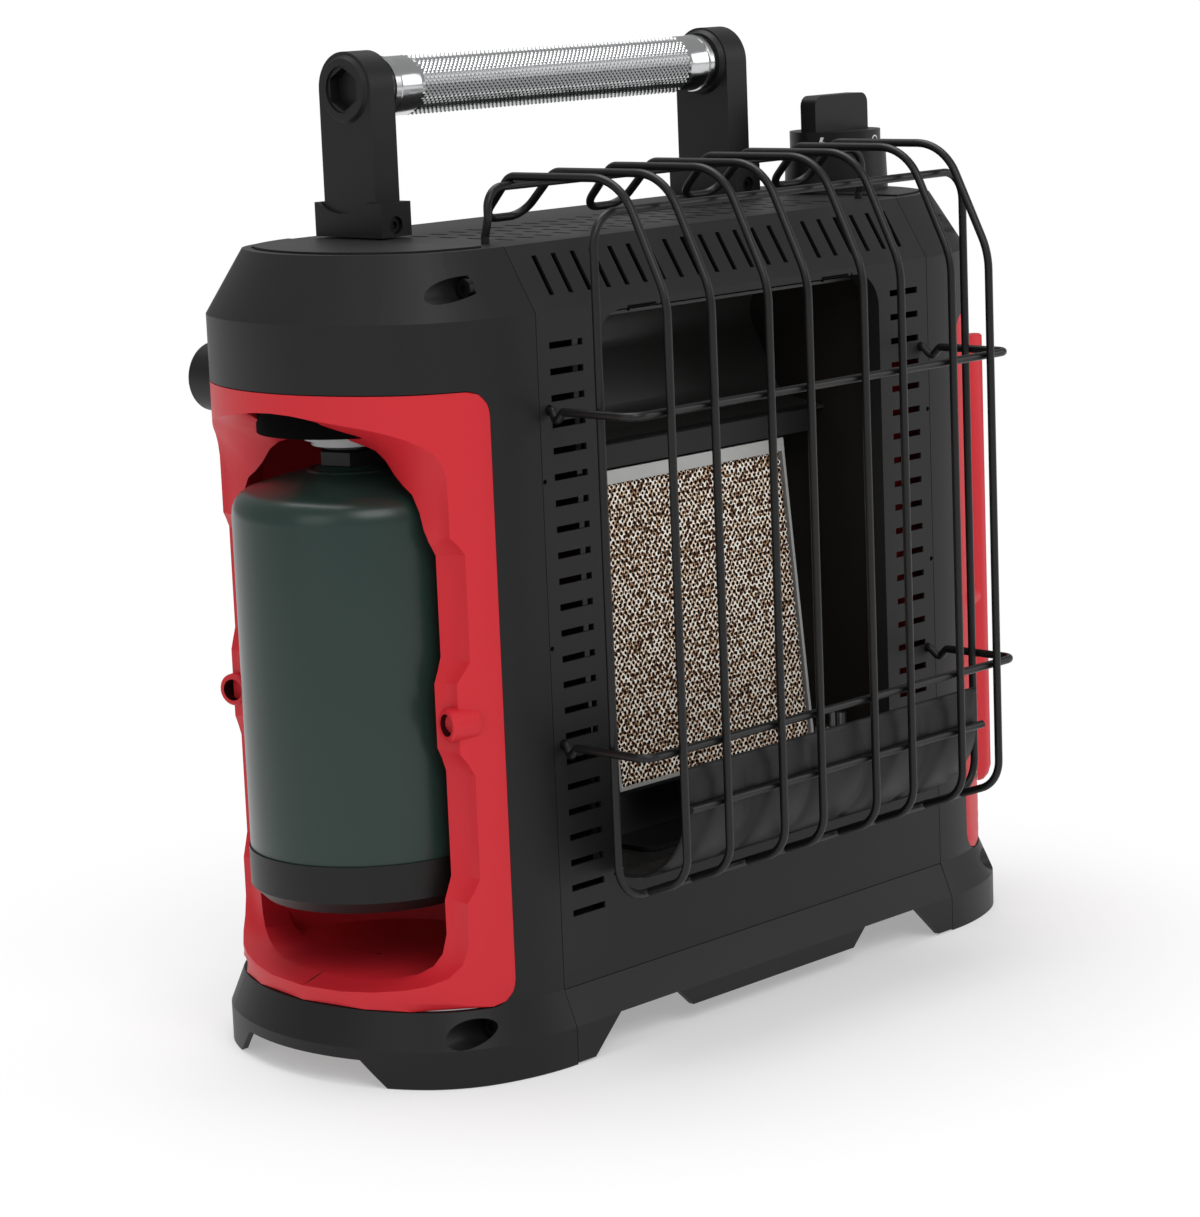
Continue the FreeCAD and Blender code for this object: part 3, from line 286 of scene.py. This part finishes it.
def makeGrip():
    shape = bmesh.new()
    half, step = grip["knurlReach"], grip["knurlStep"]
    rows = round(2 * half / step)
    ends = [(x - grip["reach"], r) for x, r in grip["ends"]] + [(-half, grip["knurlRadius"])]
    knurl = [(-half + step * k, grip["knurlRadius"]) for k in range(1, rows)]
    chain = [(ends[0][0], 0.0)] + ends + knurl
    chain += [(-x, r) for x, r in reversed(ends)] + [(-ends[0][0], 0.0)]
    middle = place(0, grip["y"], grip["z"])
    spinProfile(shape, [place(x, grip["y"], grip["z"] + r) for x, r in chain], middle, grip["around"],
                (-1, 0, 0))
    knurled = set()
    for vertex in shape.verts:
        if abs(vertex.co.x) > (half - step / 2) * mm:
            continue
        knurled.add(vertex)
        out = Vector((0, vertex.co.y - middle.y, vertex.co.z - middle.z))
        row = round((vertex.co.x / mm + half) / step) + len(ends) - 1
        column = round(math.atan2(out.y, out.z) / (2 * math.pi) * grip["around"])
        if (row + column) % 2:
            vertex.co += out.normalized() * grip["knurlDepth"] * mm
    faces = [face for face in shape.faces if knurled.issuperset(face.verts)]
    bmesh.ops.triangulate(shape, faces=faces, quad_method="SHORT_EDGE")
    return finishPiece("gripBar", shape, ["chrome"], "heater_body", ["grip_bar"], 22.0)


makeGrip()
print("grip made")


# Control knob's painted marks: a bolt and a ring, drawn flat and wrapped on the skirt

knobMarks = {"x": 147.8, "y": -3.0, "z": 341.6, "radius": 20.06, "boltAt": 22.0, "ringAt": 100.0,
             "ringOuter": 2.5, "ringInner": 1.9, "ringSides": 28,
             "bolt": [(-0.2, 2.6), (1.3, 2.6), (0.5, 0.6), (1.6, 0.6), (-0.9, -2.8), (-0.1, -0.4),
                      (-1.2, -0.4)]}


def wrapOnSkirt(verts, degrees):
    # degrees are counted from the knob's left side towards its front
    for vertex in verts:
        angle = math.radians(degrees) + vertex.co.x / knobMarks["radius"]
        vertex.co = place(knobMarks["x"] - knobMarks["radius"] * math.cos(angle),
                          knobMarks["y"] - knobMarks["radius"] * math.sin(angle),
                          knobMarks["z"] + vertex.co.y)


def makeKnobMarks():
    shape = bmesh.new()
    for radius in (knobMarks["ringOuter"], knobMarks["ringInner"]):
        bmesh.ops.create_circle(shape, segments=knobMarks["ringSides"], radius=radius)
    bmesh.ops.bridge_loops(shape, edges=shape.edges[:])
    wrapOnSkirt(shape.verts, knobMarks["ringAt"])
    bolt = [shape.verts.new((x, z, 0)) for x, z in knobMarks["bolt"]]
    shape.faces.new(bolt)
    wrapOnSkirt(bolt, knobMarks["boltAt"])
    return finishPiece("knobMarks", shape, ["mark"], "control_knob")


makeKnobMarks()
print("knob marks made")


# Pressed heat shield under the fire mouth, with raised pads between its grooves

shield = {"half": 91.3, "frontY": -117.9, "backY": -78.0, "high": 118.0, "low": 70.6, "bend": 34.0,
          "pads": 5, "groove": 5.0, "slope": 1.6, "raise": 0.9, "sheet": 1.1,
          "frontSteps": 6, "bendSteps": 16, "footSteps": 3,
          "flatRows": 1, "fadeInRows": 2, "fadeOutRows": 3}


def shieldSection():
    # points down the section with their outward directions, as (y, z, outY, outZ)
    front, low, bend = shield["frontY"], shield["low"], shield["bend"]
    rise, run = shield["high"] - low - bend, shield["backY"] - front - bend
    steps = shield["frontSteps"]
    points = [(front, shield["high"] - rise * k / steps, -1.0, 0.0) for k in range(steps)]
    for k in range(shield["bendSteps"] + 1):
        angle = math.pi / 2 * k / shield["bendSteps"]
        c, s = math.cos(angle), math.sin(angle)
        points.append((front + bend - bend * c, low + bend - bend * s, -c, -s))
    steps = shield["footSteps"]
    points += [(front + bend + run * k / steps, low, 0.0, -1.0) for k in range(1, steps + 1)]
    return points


def makeShield():
    half, gap, slope = shield["half"], shield["groove"] / 2, shield["slope"]
    pitch = 2 * half / shield["pads"]
    columns = []
    for pad in range(shield["pads"]):
        x = -half + pad * pitch
        columns += [(x, 0.0), (x + gap, 0.0), (x + gap + slope, shield["raise"]),
                    (x + pitch - gap - slope, shield["raise"]), (x + pitch - gap, 0.0)]
    columns.append((half, 0.0))
    section = shieldSection()
    rows = []
    for index, (y, z, outY, outZ) in enumerate(section):
        fadeIn = (index - shield["flatRows"]) / shield["fadeInRows"]
        fadeOut = (len(section) - shield["fadeOutRows"] - index) / shield["fadeOutRows"]
        fade = max(0.0, min(1.0, fadeIn, fadeOut))
        rows.append([place(x, y + outY * lift * fade, z + outZ * lift * fade) for x, lift in columns])
    shape = bmesh.new()
    addSheet(shape, rows)
    piece = finishPiece("deflectorShield", shape, ["steel"], "heater_body",
                        ["deflector"], 60.0)
    wall = piece.modifiers.new("thickness", "SOLIDIFY")
    wall.thickness = shield["sheet"] * mm
    wall.offset = 0.0
    return piece


makeShield()
print("heat shield made")


# Red bay panels. The end wall is three arcs, each given by its centre's x and y and its radius; the
# first two also have the y that they run to.

wallArcs = {"end": (94.4, 0.0, 94.6), "corner": (134.39, 24.33, 47.8), "front": (119.2, -11.8, 87.0),
            "endTo": 48.66, "cornerTo": 68.4}


def wallX(y):
    y = abs(y)
    kind = "end" if y <= wallArcs["endTo"] else "corner" if y <= wallArcs["cornerTo"] else "front"
    x0, y0, radius = wallArcs[kind]
    return x0 + math.sqrt(radius ** 2 - (y - y0) ** 2)


# Half of the panel from the lintel's middle down to the sill's: the rim's y and z, the mouth's y and z
# on the wall, then the mouth's inner edge and the bay's edge as x, y, z. The front half is mirrored.
bayRows = [
    (0, 268.1, 0, 260.6, 186.4, 0, 260.9, 185.6, 0, 261.6),
    (10, 268.1, 10, 260.2, 185.9, 10, 260.5, 185.1, 10, 261.3),
    (17, 268.1, 16.5, 259.4, 184.8, 17.5, 259.2, 184.0, 18.4, 260.6),
    (23, 268.1, 23, 258.6, 174, 19.4, 252.8, 174, 19.8, 256),
    (30, 268.1, 30, 257.6, 166, 19.5, 248.4, 163, 20.0, 252),
    (37, 268.1, 37, 256.5, 161, 21.5, 246.0, 150, 22, 250),
    (44, 268.1, 44, 255.2, 161, 27.5, 244.6, 147.8, 30, 249.5),
    (50, 268.1, 50, 253.5, 161, 32.9, 241.3, 147.8, 38, 248),
    (55, 268.1, 55, 251.6, 161, 38.0, 235.6, 147.8, 45, 245),
    (61, 268.1, 59.3, 248.7, 161, 42.2, 232.0, 147.8, 49.5, 241),
    (68.7, 268.1, 62.4, 245.6, 161, 46.8, 229.0, 147.8, 52, 236),
    (70.6, 266.8, 64.0, 241.6, 161, 50.4, 222.5, 147.8, 53, 229),
    (71.6, 263.1, 64.8, 236.5, 161, 52.4, 215.6, 147.8, 53, 221),
    (71.9, 258.1, 64.9, 224.0, 161, 53.9, 213.0, 147.8, 53, 216),
    (71.9, 225.0, 64.9, 213.5, 160.6, 54, 211.6, 147.8, 53, 212),
    (71.9, 212.0, 66.4, 210.5, 159, 54, 209.0, 147.8, 53, 209),
    (71.9, 205.0, 67.6, 206.8, 157, 54, 205.5, 147.8, 53, 205),
    (71.9, 166.0, 67.6, 165.5, 157, 54, 166.5, 147.8, 53, 166.5),
    (71.9, 160.0, 66.4, 161.5, 159, 54, 161, 147.8, 53, 161),
    (71.9, 155.0, 64.9, 157.5, 161, 54, 156.5, 147.8, 53, 156.5),
    (71.9, 131.0, 64.9, 130.0, 161, 54, 131.5, 147.8, 53, 131.5),
    (71.9, 126.0, 66.4, 126.0, 159, 54, 127.5, 147.8, 53, 127.5),
    (71.9, 120.0, 67.6, 121.0, 157, 54, 122, 147.8, 53, 122),
    (71.9, 80.0, 67.6, 80.5, 157, 54, 80.5, 147.8, 53, 80.5),
    (71.9, 76.0, 66.4, 75.5, 159, 54, 76, 147.8, 53, 76),
    (71.9, 71.0, 64.9, 71.2, 161, 54, 71.5, 147.8, 53, 71.5),
    (71.9, 57.0, 64.9, 55.0, 161, 54, 58, 147.8, 53, 58),
    (71.9, 39.3, 63.4, 47.5, 162, 52.3, 50, 147.8, 53, 48),
    (71.6, 34.0, 59.8, 42.4, 164, 49, 45, 147.8, 50, 42),
    (70.6, 30.6, 53.5, 39.4, 167, 43.5, 41.6, 147.8, 44, 38.6),
    (68.7, 29.3, 45.5, 37.7, 171, 35.5, 39.6, 147.8, 36, 38.1),
    (48, 29.3, 34, 36.3, 174, 25, 38.7, 147.8, 25, 38.1),
    (30, 29.3, 20, 35.4, 176, 14, 38.3, 147.8, 13, 38.1),
    (0, 29.3, 0, 35.0, 177, 0, 38.2, 147.8, 0, 38.1),
]
gableRows = bayRows[4:14]  # these also close the gap between the mouth and the bay's ceiling
bay = {"x": 147.8, "radius": 53.0, "low": 38.1, "high": 250.0, "hole": 20.6, "wallSteps": 24,
       "floorHole": 1.0, "floorRing": 26.0, "ceilingRing": 36.0,
       "levels": [60 + 19 * k for k in range(10)],
       "skinSteps": 5, "bevelSteps": 4, "edgeTurn": 2.2, "sag": (-0.77, 0.44, 0.0), "merge": 0.2}
boss = {"rootX": 151.6, "rootY": 64.5, "tipX": 163.1, "tipY": 61.5, "z": 141.6, "outer": 6.5,
        "inner": 4.4, "chamfer": 0.8, "floor": 1.5, "sides": 28}


def baySection(row, side, turned):
    # from the rim over the wall to the mouth, down its hollow bevel, then in to the bay's edge
    rimY, rimZ, mouthY, mouthZ = row[:4]
    inner, last = Vector(row[4:7]), Vector(row[7:])
    points = [Vector((wallX(rimY) - bay["edgeTurn"], rimY, rimZ))]
    for k in range(bay["skinSteps"] + 1):
        share = k / bay["skinSteps"]
        y = rimY + (mouthY - rimY) * share
        points.append(Vector((wallX(y), y, rimZ + (mouthZ - rimZ) * share)))
    mouth = points[-1]
    for k in range(1, bay["bevelSteps"] + 1):
        share = k / bay["bevelSteps"]
        points.append(mouth.lerp(inner, share) + Vector(bay["sag"]) * math.sin(math.pi * share))
    points += [(inner + last) / 2, last]
    return [place(side * x, turned * y, z) for x, y, z in points]


def addBoss(shape, side, turned):
    # a round boss on the mouth's edge, its blind hole in the second material, a dark red that paints
    # the shade inside the hole
    start = place(side * boss["rootX"], turned * boss["rootY"], boss["z"])
    end = place(side * boss["tipX"], turned * boss["tipY"], boss["z"])
    along = (end - start).normalized()
    across = along.orthogonal().normalized()
    cut, deep = along * boss["chamfer"] * mm, along * boss["floor"] * mm
    chain = [(start, boss["outer"]), (end - cut, boss["outer"]),
             (end, boss["outer"] - boss["chamfer"]), (end, boss["inner"]),
             (start + deep, boss["inner"]), (start + deep, 0.0)]
    known = set(shape.faces)
    spinProfile(shape, [at + across * radius * mm for at, radius in chain], start, boss["sides"], along)
    for face in set(shape.faces) - known:
        middle = face.calc_center_median() - start
        away = middle - along * middle.dot(along)
        if away.length < boss["inner"] * mm:
            face.material_index = 1


def makeBayPanel(name, side, replaced):
    shape = bmesh.new()
    for turned in (-1, 1):
        addSheet(shape, [baySection(row, side, turned) for row in bayRows])
        addSheet(shape, [[place(side * x, turned * y, z),
                          place(side * bay["x"], turned * max(y, bay["hole"]), bay["high"])]
                         for x, y, z in (row[7:] for row in gableRows)])
    chain = [(radius, bay["low"]) for radius in (bay["floorHole"], bay["floorRing"], bay["radius"])]
    chain += [(bay["radius"], z) for z in bay["levels"] + [bay["high"]]]
    chain += [(bay["ceilingRing"], bay["high"]), (bay["hole"], bay["high"])]
    spinProfile(shape, [place(side * bay["x"], -radius, z) for radius, z in chain],
                place(side * bay["x"], 0, 0), bay["wallSteps"], (0, 0, -side), 180.0)
    bmesh.ops.remove_doubles(shape, verts=shape.verts, dist=bay["merge"] * mm)
    for turned in (-1, 1):
        addBoss(shape, side, turned)
    return finishPiece(name, shape, ["red", "redHoleShade"], "heater_body", [replaced], 24.0)


# A near-black sleeve round each regulator, over the bay's ceiling: painted shade that fills the unlit
# hollow there

sleeve = {"radius": 36.5, "low": 250.4, "high": 291.0, "wall": 1.0, "sides": 64}


def makeShadeSleeve(name, side):
    shape = bmesh.new()
    inner = sleeve["radius"] - sleeve["wall"]
    chain = [(sleeve["radius"], sleeve["low"]), (sleeve["radius"], sleeve["high"]),
             (inner, sleeve["high"]), (inner, sleeve["low"]), (sleeve["radius"], sleeve["low"])]
    spinProfile(shape, [place(side * bay["x"] + radius, 0, z) for radius, z in chain],
                place(side * bay["x"], 0, 0), sleeve["sides"])
    return finishPiece(name, shape, ["paintedShadeBlack"], "heater_body", (), 40.0)


for side, hand in ((-1, "Left"), (1, "Right")):
    makeBayPanel("bayPanel" + hand, side, "bay_panel_" + hand.lower())
for side, hand in ((-1, "Left"), (1, "Right")):
    makeShadeSleeve("regulatorShadeSleeve" + hand, side)


# Raised rim on the right panel: its section's x and y, and each level's z and share of the section

rim = {"middle": (160.5, 64.6),
       "section": [(156.6, 67.3), (161.0, 69.0), (165.4, 68.4), (168.2, 65.4), (167.8, 62.5),
                   (165.2, 61.6)],
       "levels": [(57.0, 0.0), (57.6, 0.45), (60.0, 0.8), (64.0, 1.0), (160.0, 1.0), (256.4, 1.0),
                  (257.0, 0.9)]}


def makeRim():
    shape = bmesh.new()
    middle = Vector(rim["middle"])
    corners = [Vector(corner) for corner in rim["section"] + rim["section"][:1]]
    for turned in (-1, 1):
        rows = []
        for z, share in rim["levels"]:
            around = [middle + (corner - middle) * share for corner in corners]
            rows.append([place(at.x, turned * at.y, z) for at in around])
        addSheet(shape, rows)
    bmesh.ops.remove_doubles(shape, verts=shape.verts, dist=0.01 * mm)
    bmesh.ops.holes_fill(shape, edges=[edge for edge in shape.edges if edge.is_boundary])
    return finishPiece("rightRim", shape, ["red"], "heater_body", (), 50.0)


makeRim()
print("bay panels made")


# Gas bottles, as radius and z, and their valves, as low and high z, radius and sides

bottle = {"x": 147.8, "sides": 96,
          "profile": [(0.0, 73.0), (38.0, 73.0), (46.0, 76.0), (48.0, 82.0), (48.0, 150.0),
                      (48.0, 218.4), (47.6, 221.4), (46.4, 224.2), (44.4, 226.4), (42.0, 227.8),
                      (39.0, 228.8), (34.0, 230.3), (28.0, 232.0), (22.0, 233.4), (18.2, 234.2),
                      (17.6, 234.9), (16.4, 235.2), (15.0, 234.9), (14.2, 235.4), (12.6, 236.4),
                      (12.0, 236.6), (0.0, 236.6)]}
valve = {"turn": math.atan2(-0.69, -0.723), "edge": 0.5, "topEdge": 0.6,
         "parts": [(236.3, 242.4, 13.4, 6), (242.4, 244.2, 11.0, 32), (244.2, 252.0, 8.0, 32)]}


def makeBottle(name, side, body, replaced):
    shape = bmesh.new()
    x = side * bottle["x"]
    spinProfile(shape, [place(x + radius, 0, z) for radius, z in bottle["profile"]], place(x, 0, 0),
                bottle["sides"])
    return finishPiece(name, shape, ["green"], body, [replaced], 34.0)


def makeValve(name, side, body, replaced):
    shape = bmesh.new()
    x, edge = side * bottle["x"], valve["edge"]
    c, s = math.cos(valve["turn"]), math.sin(valve["turn"])
    for low, high, radius, sides in valve["parts"]:
        chain = [(low, 0.0), (low, radius - edge), (low + edge, radius), (high - edge, radius),
                 (high, radius - valve["topEdge"]), (high, 0.0)]
        spinProfile(shape, [place(x + r * c, r * s, z) for z, r in chain], place(x, 0, 0), sides)
    return finishPiece(name, shape, ["valve"], body, [replaced], 30.0)


for side, hand in ((-1, "Left"), (1, "Right")):
    body = "bottle_" + hand.lower()
    makeBottle("bottle" + hand, side, body, body)
    makeValve("bottleValve" + hand, side, body, "bottle_valve_" + hand.lower())
print("bottles made")


# Thin near-black boxes behind the fire mouth's upper edge, painted shade of small slots, as low and
# high x and low and high z

bodyStand = Matrix.Translation(place(0, 0, 0))
slotShade = {"y0": -75.4, "y1": -74.6,
        "spans": [(-67.6, -51.4, 291.9, 292.7), (-67.6, -66.8, 290.6, 291.9),
                  (-48.6, -47.8, 291.2, 292.6), (50.0, 66.8, 291.9, 292.7),
                  (50.0, 50.8, 290.6, 291.9), (68.8, 69.6, 291.2, 292.6)]}


def makeOpeningSlotShade():
    shape = bmesh.new()
    for x0, x1, z0, z1 in slotShade["spans"]:
        addBox(shape, (x0, slotShade["y0"], z0), (x1, slotShade["y1"], z1), bodyStand)
    return finishPiece("openingSlotShade", shape, ["paintedShadeBlack"], "heater_body", (), 30.0)


makeOpeningSlotShade()
print("opening tabs made")


# The burner's ceramic face: a leaning lattice of six-sided cells, each with a blind hole whose walls
# and floor are painted shade in near-black

plaque = {"half": 59.4, "low": 1.2, "high": 123.2, "footY": -54.0, "footZ": 94.5,
          "lean": math.atan2(12.3, 126.5), "pitch": 2.7, "row": 1.6, "sideMargin": 1.0,
          "cell": [(0, 1.369), (1.35, 0.23), (1.35, -0.23), (0, -1.369), (-1.35, -0.23), (-1.35, 0.23)],
          "hole": 0.84, "deep": 0.9, "vary": 0.12, "columnWave": 12.9, "rowWave": 78.2}
plaqueStand = (Matrix.Translation(place(0, plaque["footY"], plaque["footZ"]))
               @ Matrix.Rotation(-plaque["lean"], 4, "X"))


def makePlaqueFace():
    shape = bmesh.new()
    half, pitch, row = plaque["half"], plaque["pitch"], plaque["row"]
    corners = [(math.sin(math.radians(60 * k)), math.cos(math.radians(60 * k))) for k in range(6)]

    def ring(points, x, z, scale, y):
        return [shape.verts.new(plaqueStand @ (Vector((x + scale * u, y, z + scale * v)) * mm))
                for u, v in points]

    for j in range(int((plaque["high"] - plaque["low"]) / row)):
        for i in range(int(2 * half / pitch)):
            x = -half + pitch * (i + 0.5 + 0.5 * (j % 2))
            z = plaque["low"] + row * (j + 0.5)
            if x > half - plaque["sideMargin"]:
                continue
            wave = math.sin(plaque["columnWave"] * i + plaque["rowWave"] * j)
            hole = plaque["hole"] * (1.0 + plaque["vary"] * wave)
            rings = [ring(plaque["cell"], x, z, 1.0, 0.0), ring(corners, x, z, hole, 0.0),
                     ring(corners, x, z, hole, plaque["deep"])]
            # the hole walls and floors take the second material, near-black painted shade
            for dark, (outer, inner) in enumerate(zip(rings, rings[1:])):
                for k in range(6):
                    n = (k + 1) % 6
                    face = shape.faces.new((outer[k], outer[n], inner[n], inner[k]))
                    face.material_index = dark
            shape.faces.new(rings[-1]).material_index = 1
    return finishPiece("plaqueFace", shape, ["plaque", "plaqueHoleShade"], "heater_body",
                       ["ceramic_plaque"], 20.0)


makePlaqueFace()


# The plaque's bright frame: upper and lower bars stand a little prouder than the side bars

frameBars = {"half": 60.9, "top": 128.8, "foot": -0.2, "deep": 12.0, "proud": 0.5, "sideProud": 0.4}


def makePlaqueFrame():
    shape = bmesh.new()
    outer, inner, low, high = frameBars["half"], plaque["half"], plaque["low"], plaque["high"]
    for x0, x1, z0, z1, proud in (
            (-outer, outer, high, frameBars["top"], frameBars["proud"]),
            (-outer, outer, frameBars["foot"], low, frameBars["proud"]),
            (-outer, -inner, low, high, frameBars["sideProud"]),
            (inner, outer, low, high, frameBars["sideProud"])):
        addBox(shape, (x0, -proud, z0), (x1, frameBars["deep"], z1), plaqueStand)
    return finishPiece("plaqueFrame", shape, ["strip"], "heater_body",
                       ["burner_frame"], 30.0)


makePlaqueFrame()


# The dark plate that stands over the plaque, with a shelf along its upper edge

header = {"half": 84.0, "y": -41.6, "low": 223.6, "high": 234.0, "sheet": 1.0, "shelf": 14.0}


def makeBurnerHeader():
    shape = bmesh.new()
    half, y, high, sheet = header["half"], header["y"], header["high"], header["sheet"]
    addBox(shape, (-half, y, header["low"]), (half, y + sheet, high), bodyStand)
    addBox(shape, (-half, y, high - sheet), (half, y + header["shelf"], high), bodyStand)
    return finishPiece("burnerHeader", shape, ["steel"], "heater_body", (), 30.0)


makeBurnerHeader()
print("burner made")


# Light, floor and camera

# The floor is pale near the heater, for its shadow, and turns to the white background further out

floorLook = {"grey": 0.9, "roughness": 0.9, "fadeFrom": 0.18, "fadeTo": 0.40, "least": 0.35,
             "white": 1.0, "size": 12, "drop": 0.2}


def makeFloorMaterial():
    material = bpy.data.materials.new("paleFloor")
    material.use_nodes = True
    tree = material.node_tree
    add, link = tree.nodes.new, tree.links.new
    shader = tree.nodes["Principled BSDF"]
    shader.inputs["Base Color"].default_value = (*[floorLook["grey"]] * 3, 1)
    shader.inputs["Roughness"].default_value = floorLook["roughness"]
    shader.inputs["Specular IOR Level"].default_value = 0.0
    where = add("ShaderNodeTexCoord")
    reach = add("ShaderNodeVectorMath")
    reach.operation = "LENGTH"
    link(where.outputs["Object"], reach.inputs[0])
    fade = add("ShaderNodeMapRange")
    fade.interpolation_type = "SMOOTHSTEP"
    fade.inputs["From Min"].default_value = floorLook["fadeFrom"]
    fade.inputs["From Max"].default_value = floorLook["fadeTo"]
    fade.inputs["To Min"].default_value = floorLook["least"]
    link(reach.outputs["Value"], fade.inputs["Value"])
    path = add("ShaderNodeLightPath")
    seen = add("ShaderNodeMath")
    seen.operation = "MAXIMUM"
    link(path.outputs["Is Camera Ray"], seen.inputs[0])
    link(path.outputs["Is Glossy Ray"], seen.inputs[1])
    both = add("ShaderNodeMath")
    both.operation = "MULTIPLY"
    link(seen.outputs[0], both.inputs[0])
    link(fade.outputs["Result"], both.inputs[1])
    white = add("ShaderNodeEmission")
    white.inputs["Strength"].default_value = floorLook["white"]
    mix = add("ShaderNodeMixShader")
    link(both.outputs[0], mix.inputs["Fac"])
    link(shader.outputs[0], mix.inputs[1])
    link(white.outputs[0], mix.inputs[2])
    link(mix.outputs[0], tree.nodes["Material Output"].inputs["Surface"])
    return material


# The world lights the heater softly and shows white behind it

worldLook = {"light": 0.38, "behind": 1.0}


def makeStudio():
    world = bpy.data.worlds.new("studio")
    bpy.context.scene.world = world
    world.use_nodes = True
    tree = world.node_tree
    tree.nodes.clear()
    path = tree.nodes.new("ShaderNodeLightPath")
    soft = tree.nodes.new("ShaderNodeBackground")
    soft.inputs["Color"].default_value = (1, 1, 1, 1)
    soft.inputs["Strength"].default_value = worldLook["light"]
    white = tree.nodes.new("ShaderNodeBackground")
    white.inputs["Color"].default_value = (1, 1, 1, 1)
    white.inputs["Strength"].default_value = worldLook["behind"]
    mix = tree.nodes.new("ShaderNodeMixShader")
    out = tree.nodes.new("ShaderNodeOutputWorld")
    tree.links.new(path.outputs["Is Camera Ray"], mix.inputs["Fac"])
    tree.links.new(soft.outputs[0], mix.inputs[1])
    tree.links.new(white.outputs[0], mix.inputs[2])
    tree.links.new(mix.outputs[0], out.inputs["Surface"])
    bpy.ops.mesh.primitive_plane_add(size=floorLook["size"])
    floor = bpy.context.object
    floor.name = "floor"
    floor.data.transform(Matrix.Translation((0, 0, -floorLook["drop"] * mm)))
    floor.data.materials.append(makeFloorMaterial())


lampTarget = (0, 0, 0.18)
lamps = {
    "key": {"at": (-0.9, -1.9, 1.9), "size": 1.4, "watts": 26.0},
    "left": {"at": (-2.2, -0.3, 1.1), "size": 1.2, "watts": 6.0},
    "right": {"at": (1.8, -1.6, 1.0), "size": 1.2, "watts": 9.0},
    "top": {"at": (0.1, 0.4, 2.2), "size": 1.6, "watts": 32.0},
}


def makeLamps():
    for name, spec in lamps.items():
        light = bpy.data.lights.new(name, "AREA")
        light.shape = "SQUARE"
        light.size = spec["size"]
        light.energy = spec["watts"]
        holder = bpy.data.objects.new(name, light)
        bpy.context.scene.collection.objects.link(holder)
        holder.location = spec["at"]
        aim = Vector(lampTarget) - Vector(spec["at"])
        holder.rotation_euler = aim.to_track_quat("-Z", "Y").to_euler()


# The photograph's camera, its place in metres about the body's middle
camera = {
    "at": (-1.09897, -1.03860, 0.43166),
    "right": (0.68480928, -0.72762789, -0.03992366),
    "up": (0.15805181, 0.09482277, 0.98286737),
    "back": (-0.71137604, -0.67938671, 0.17993842),
    "lens": 107.57,
    "sensor": 36.0,
    "far": 50,
}


def makeCamera():
    data = bpy.data.cameras.new("photoView")
    data.lens = camera["lens"]
    data.sensor_width = camera["sensor"]
    data.sensor_fit = "AUTO"
    data.clip_end = camera["far"]
    holder = bpy.data.objects.new("photoView", data)
    bpy.context.scene.collection.objects.link(holder)
    columns = [Vector(camera[key]) for key in ("right", "up", "back")]
    turn = Matrix(columns).transposed().to_4x4()
    at = Vector(camera["at"]) + Vector((0, setBack * mm, 0))
    holder.matrix_world = Matrix.Translation(at) @ turn
    bpy.context.scene.camera = holder


makeStudio()
makeLamps()
makeCamera()
bpy.context.scene.view_settings.view_transform = "Standard"
print("studio set")
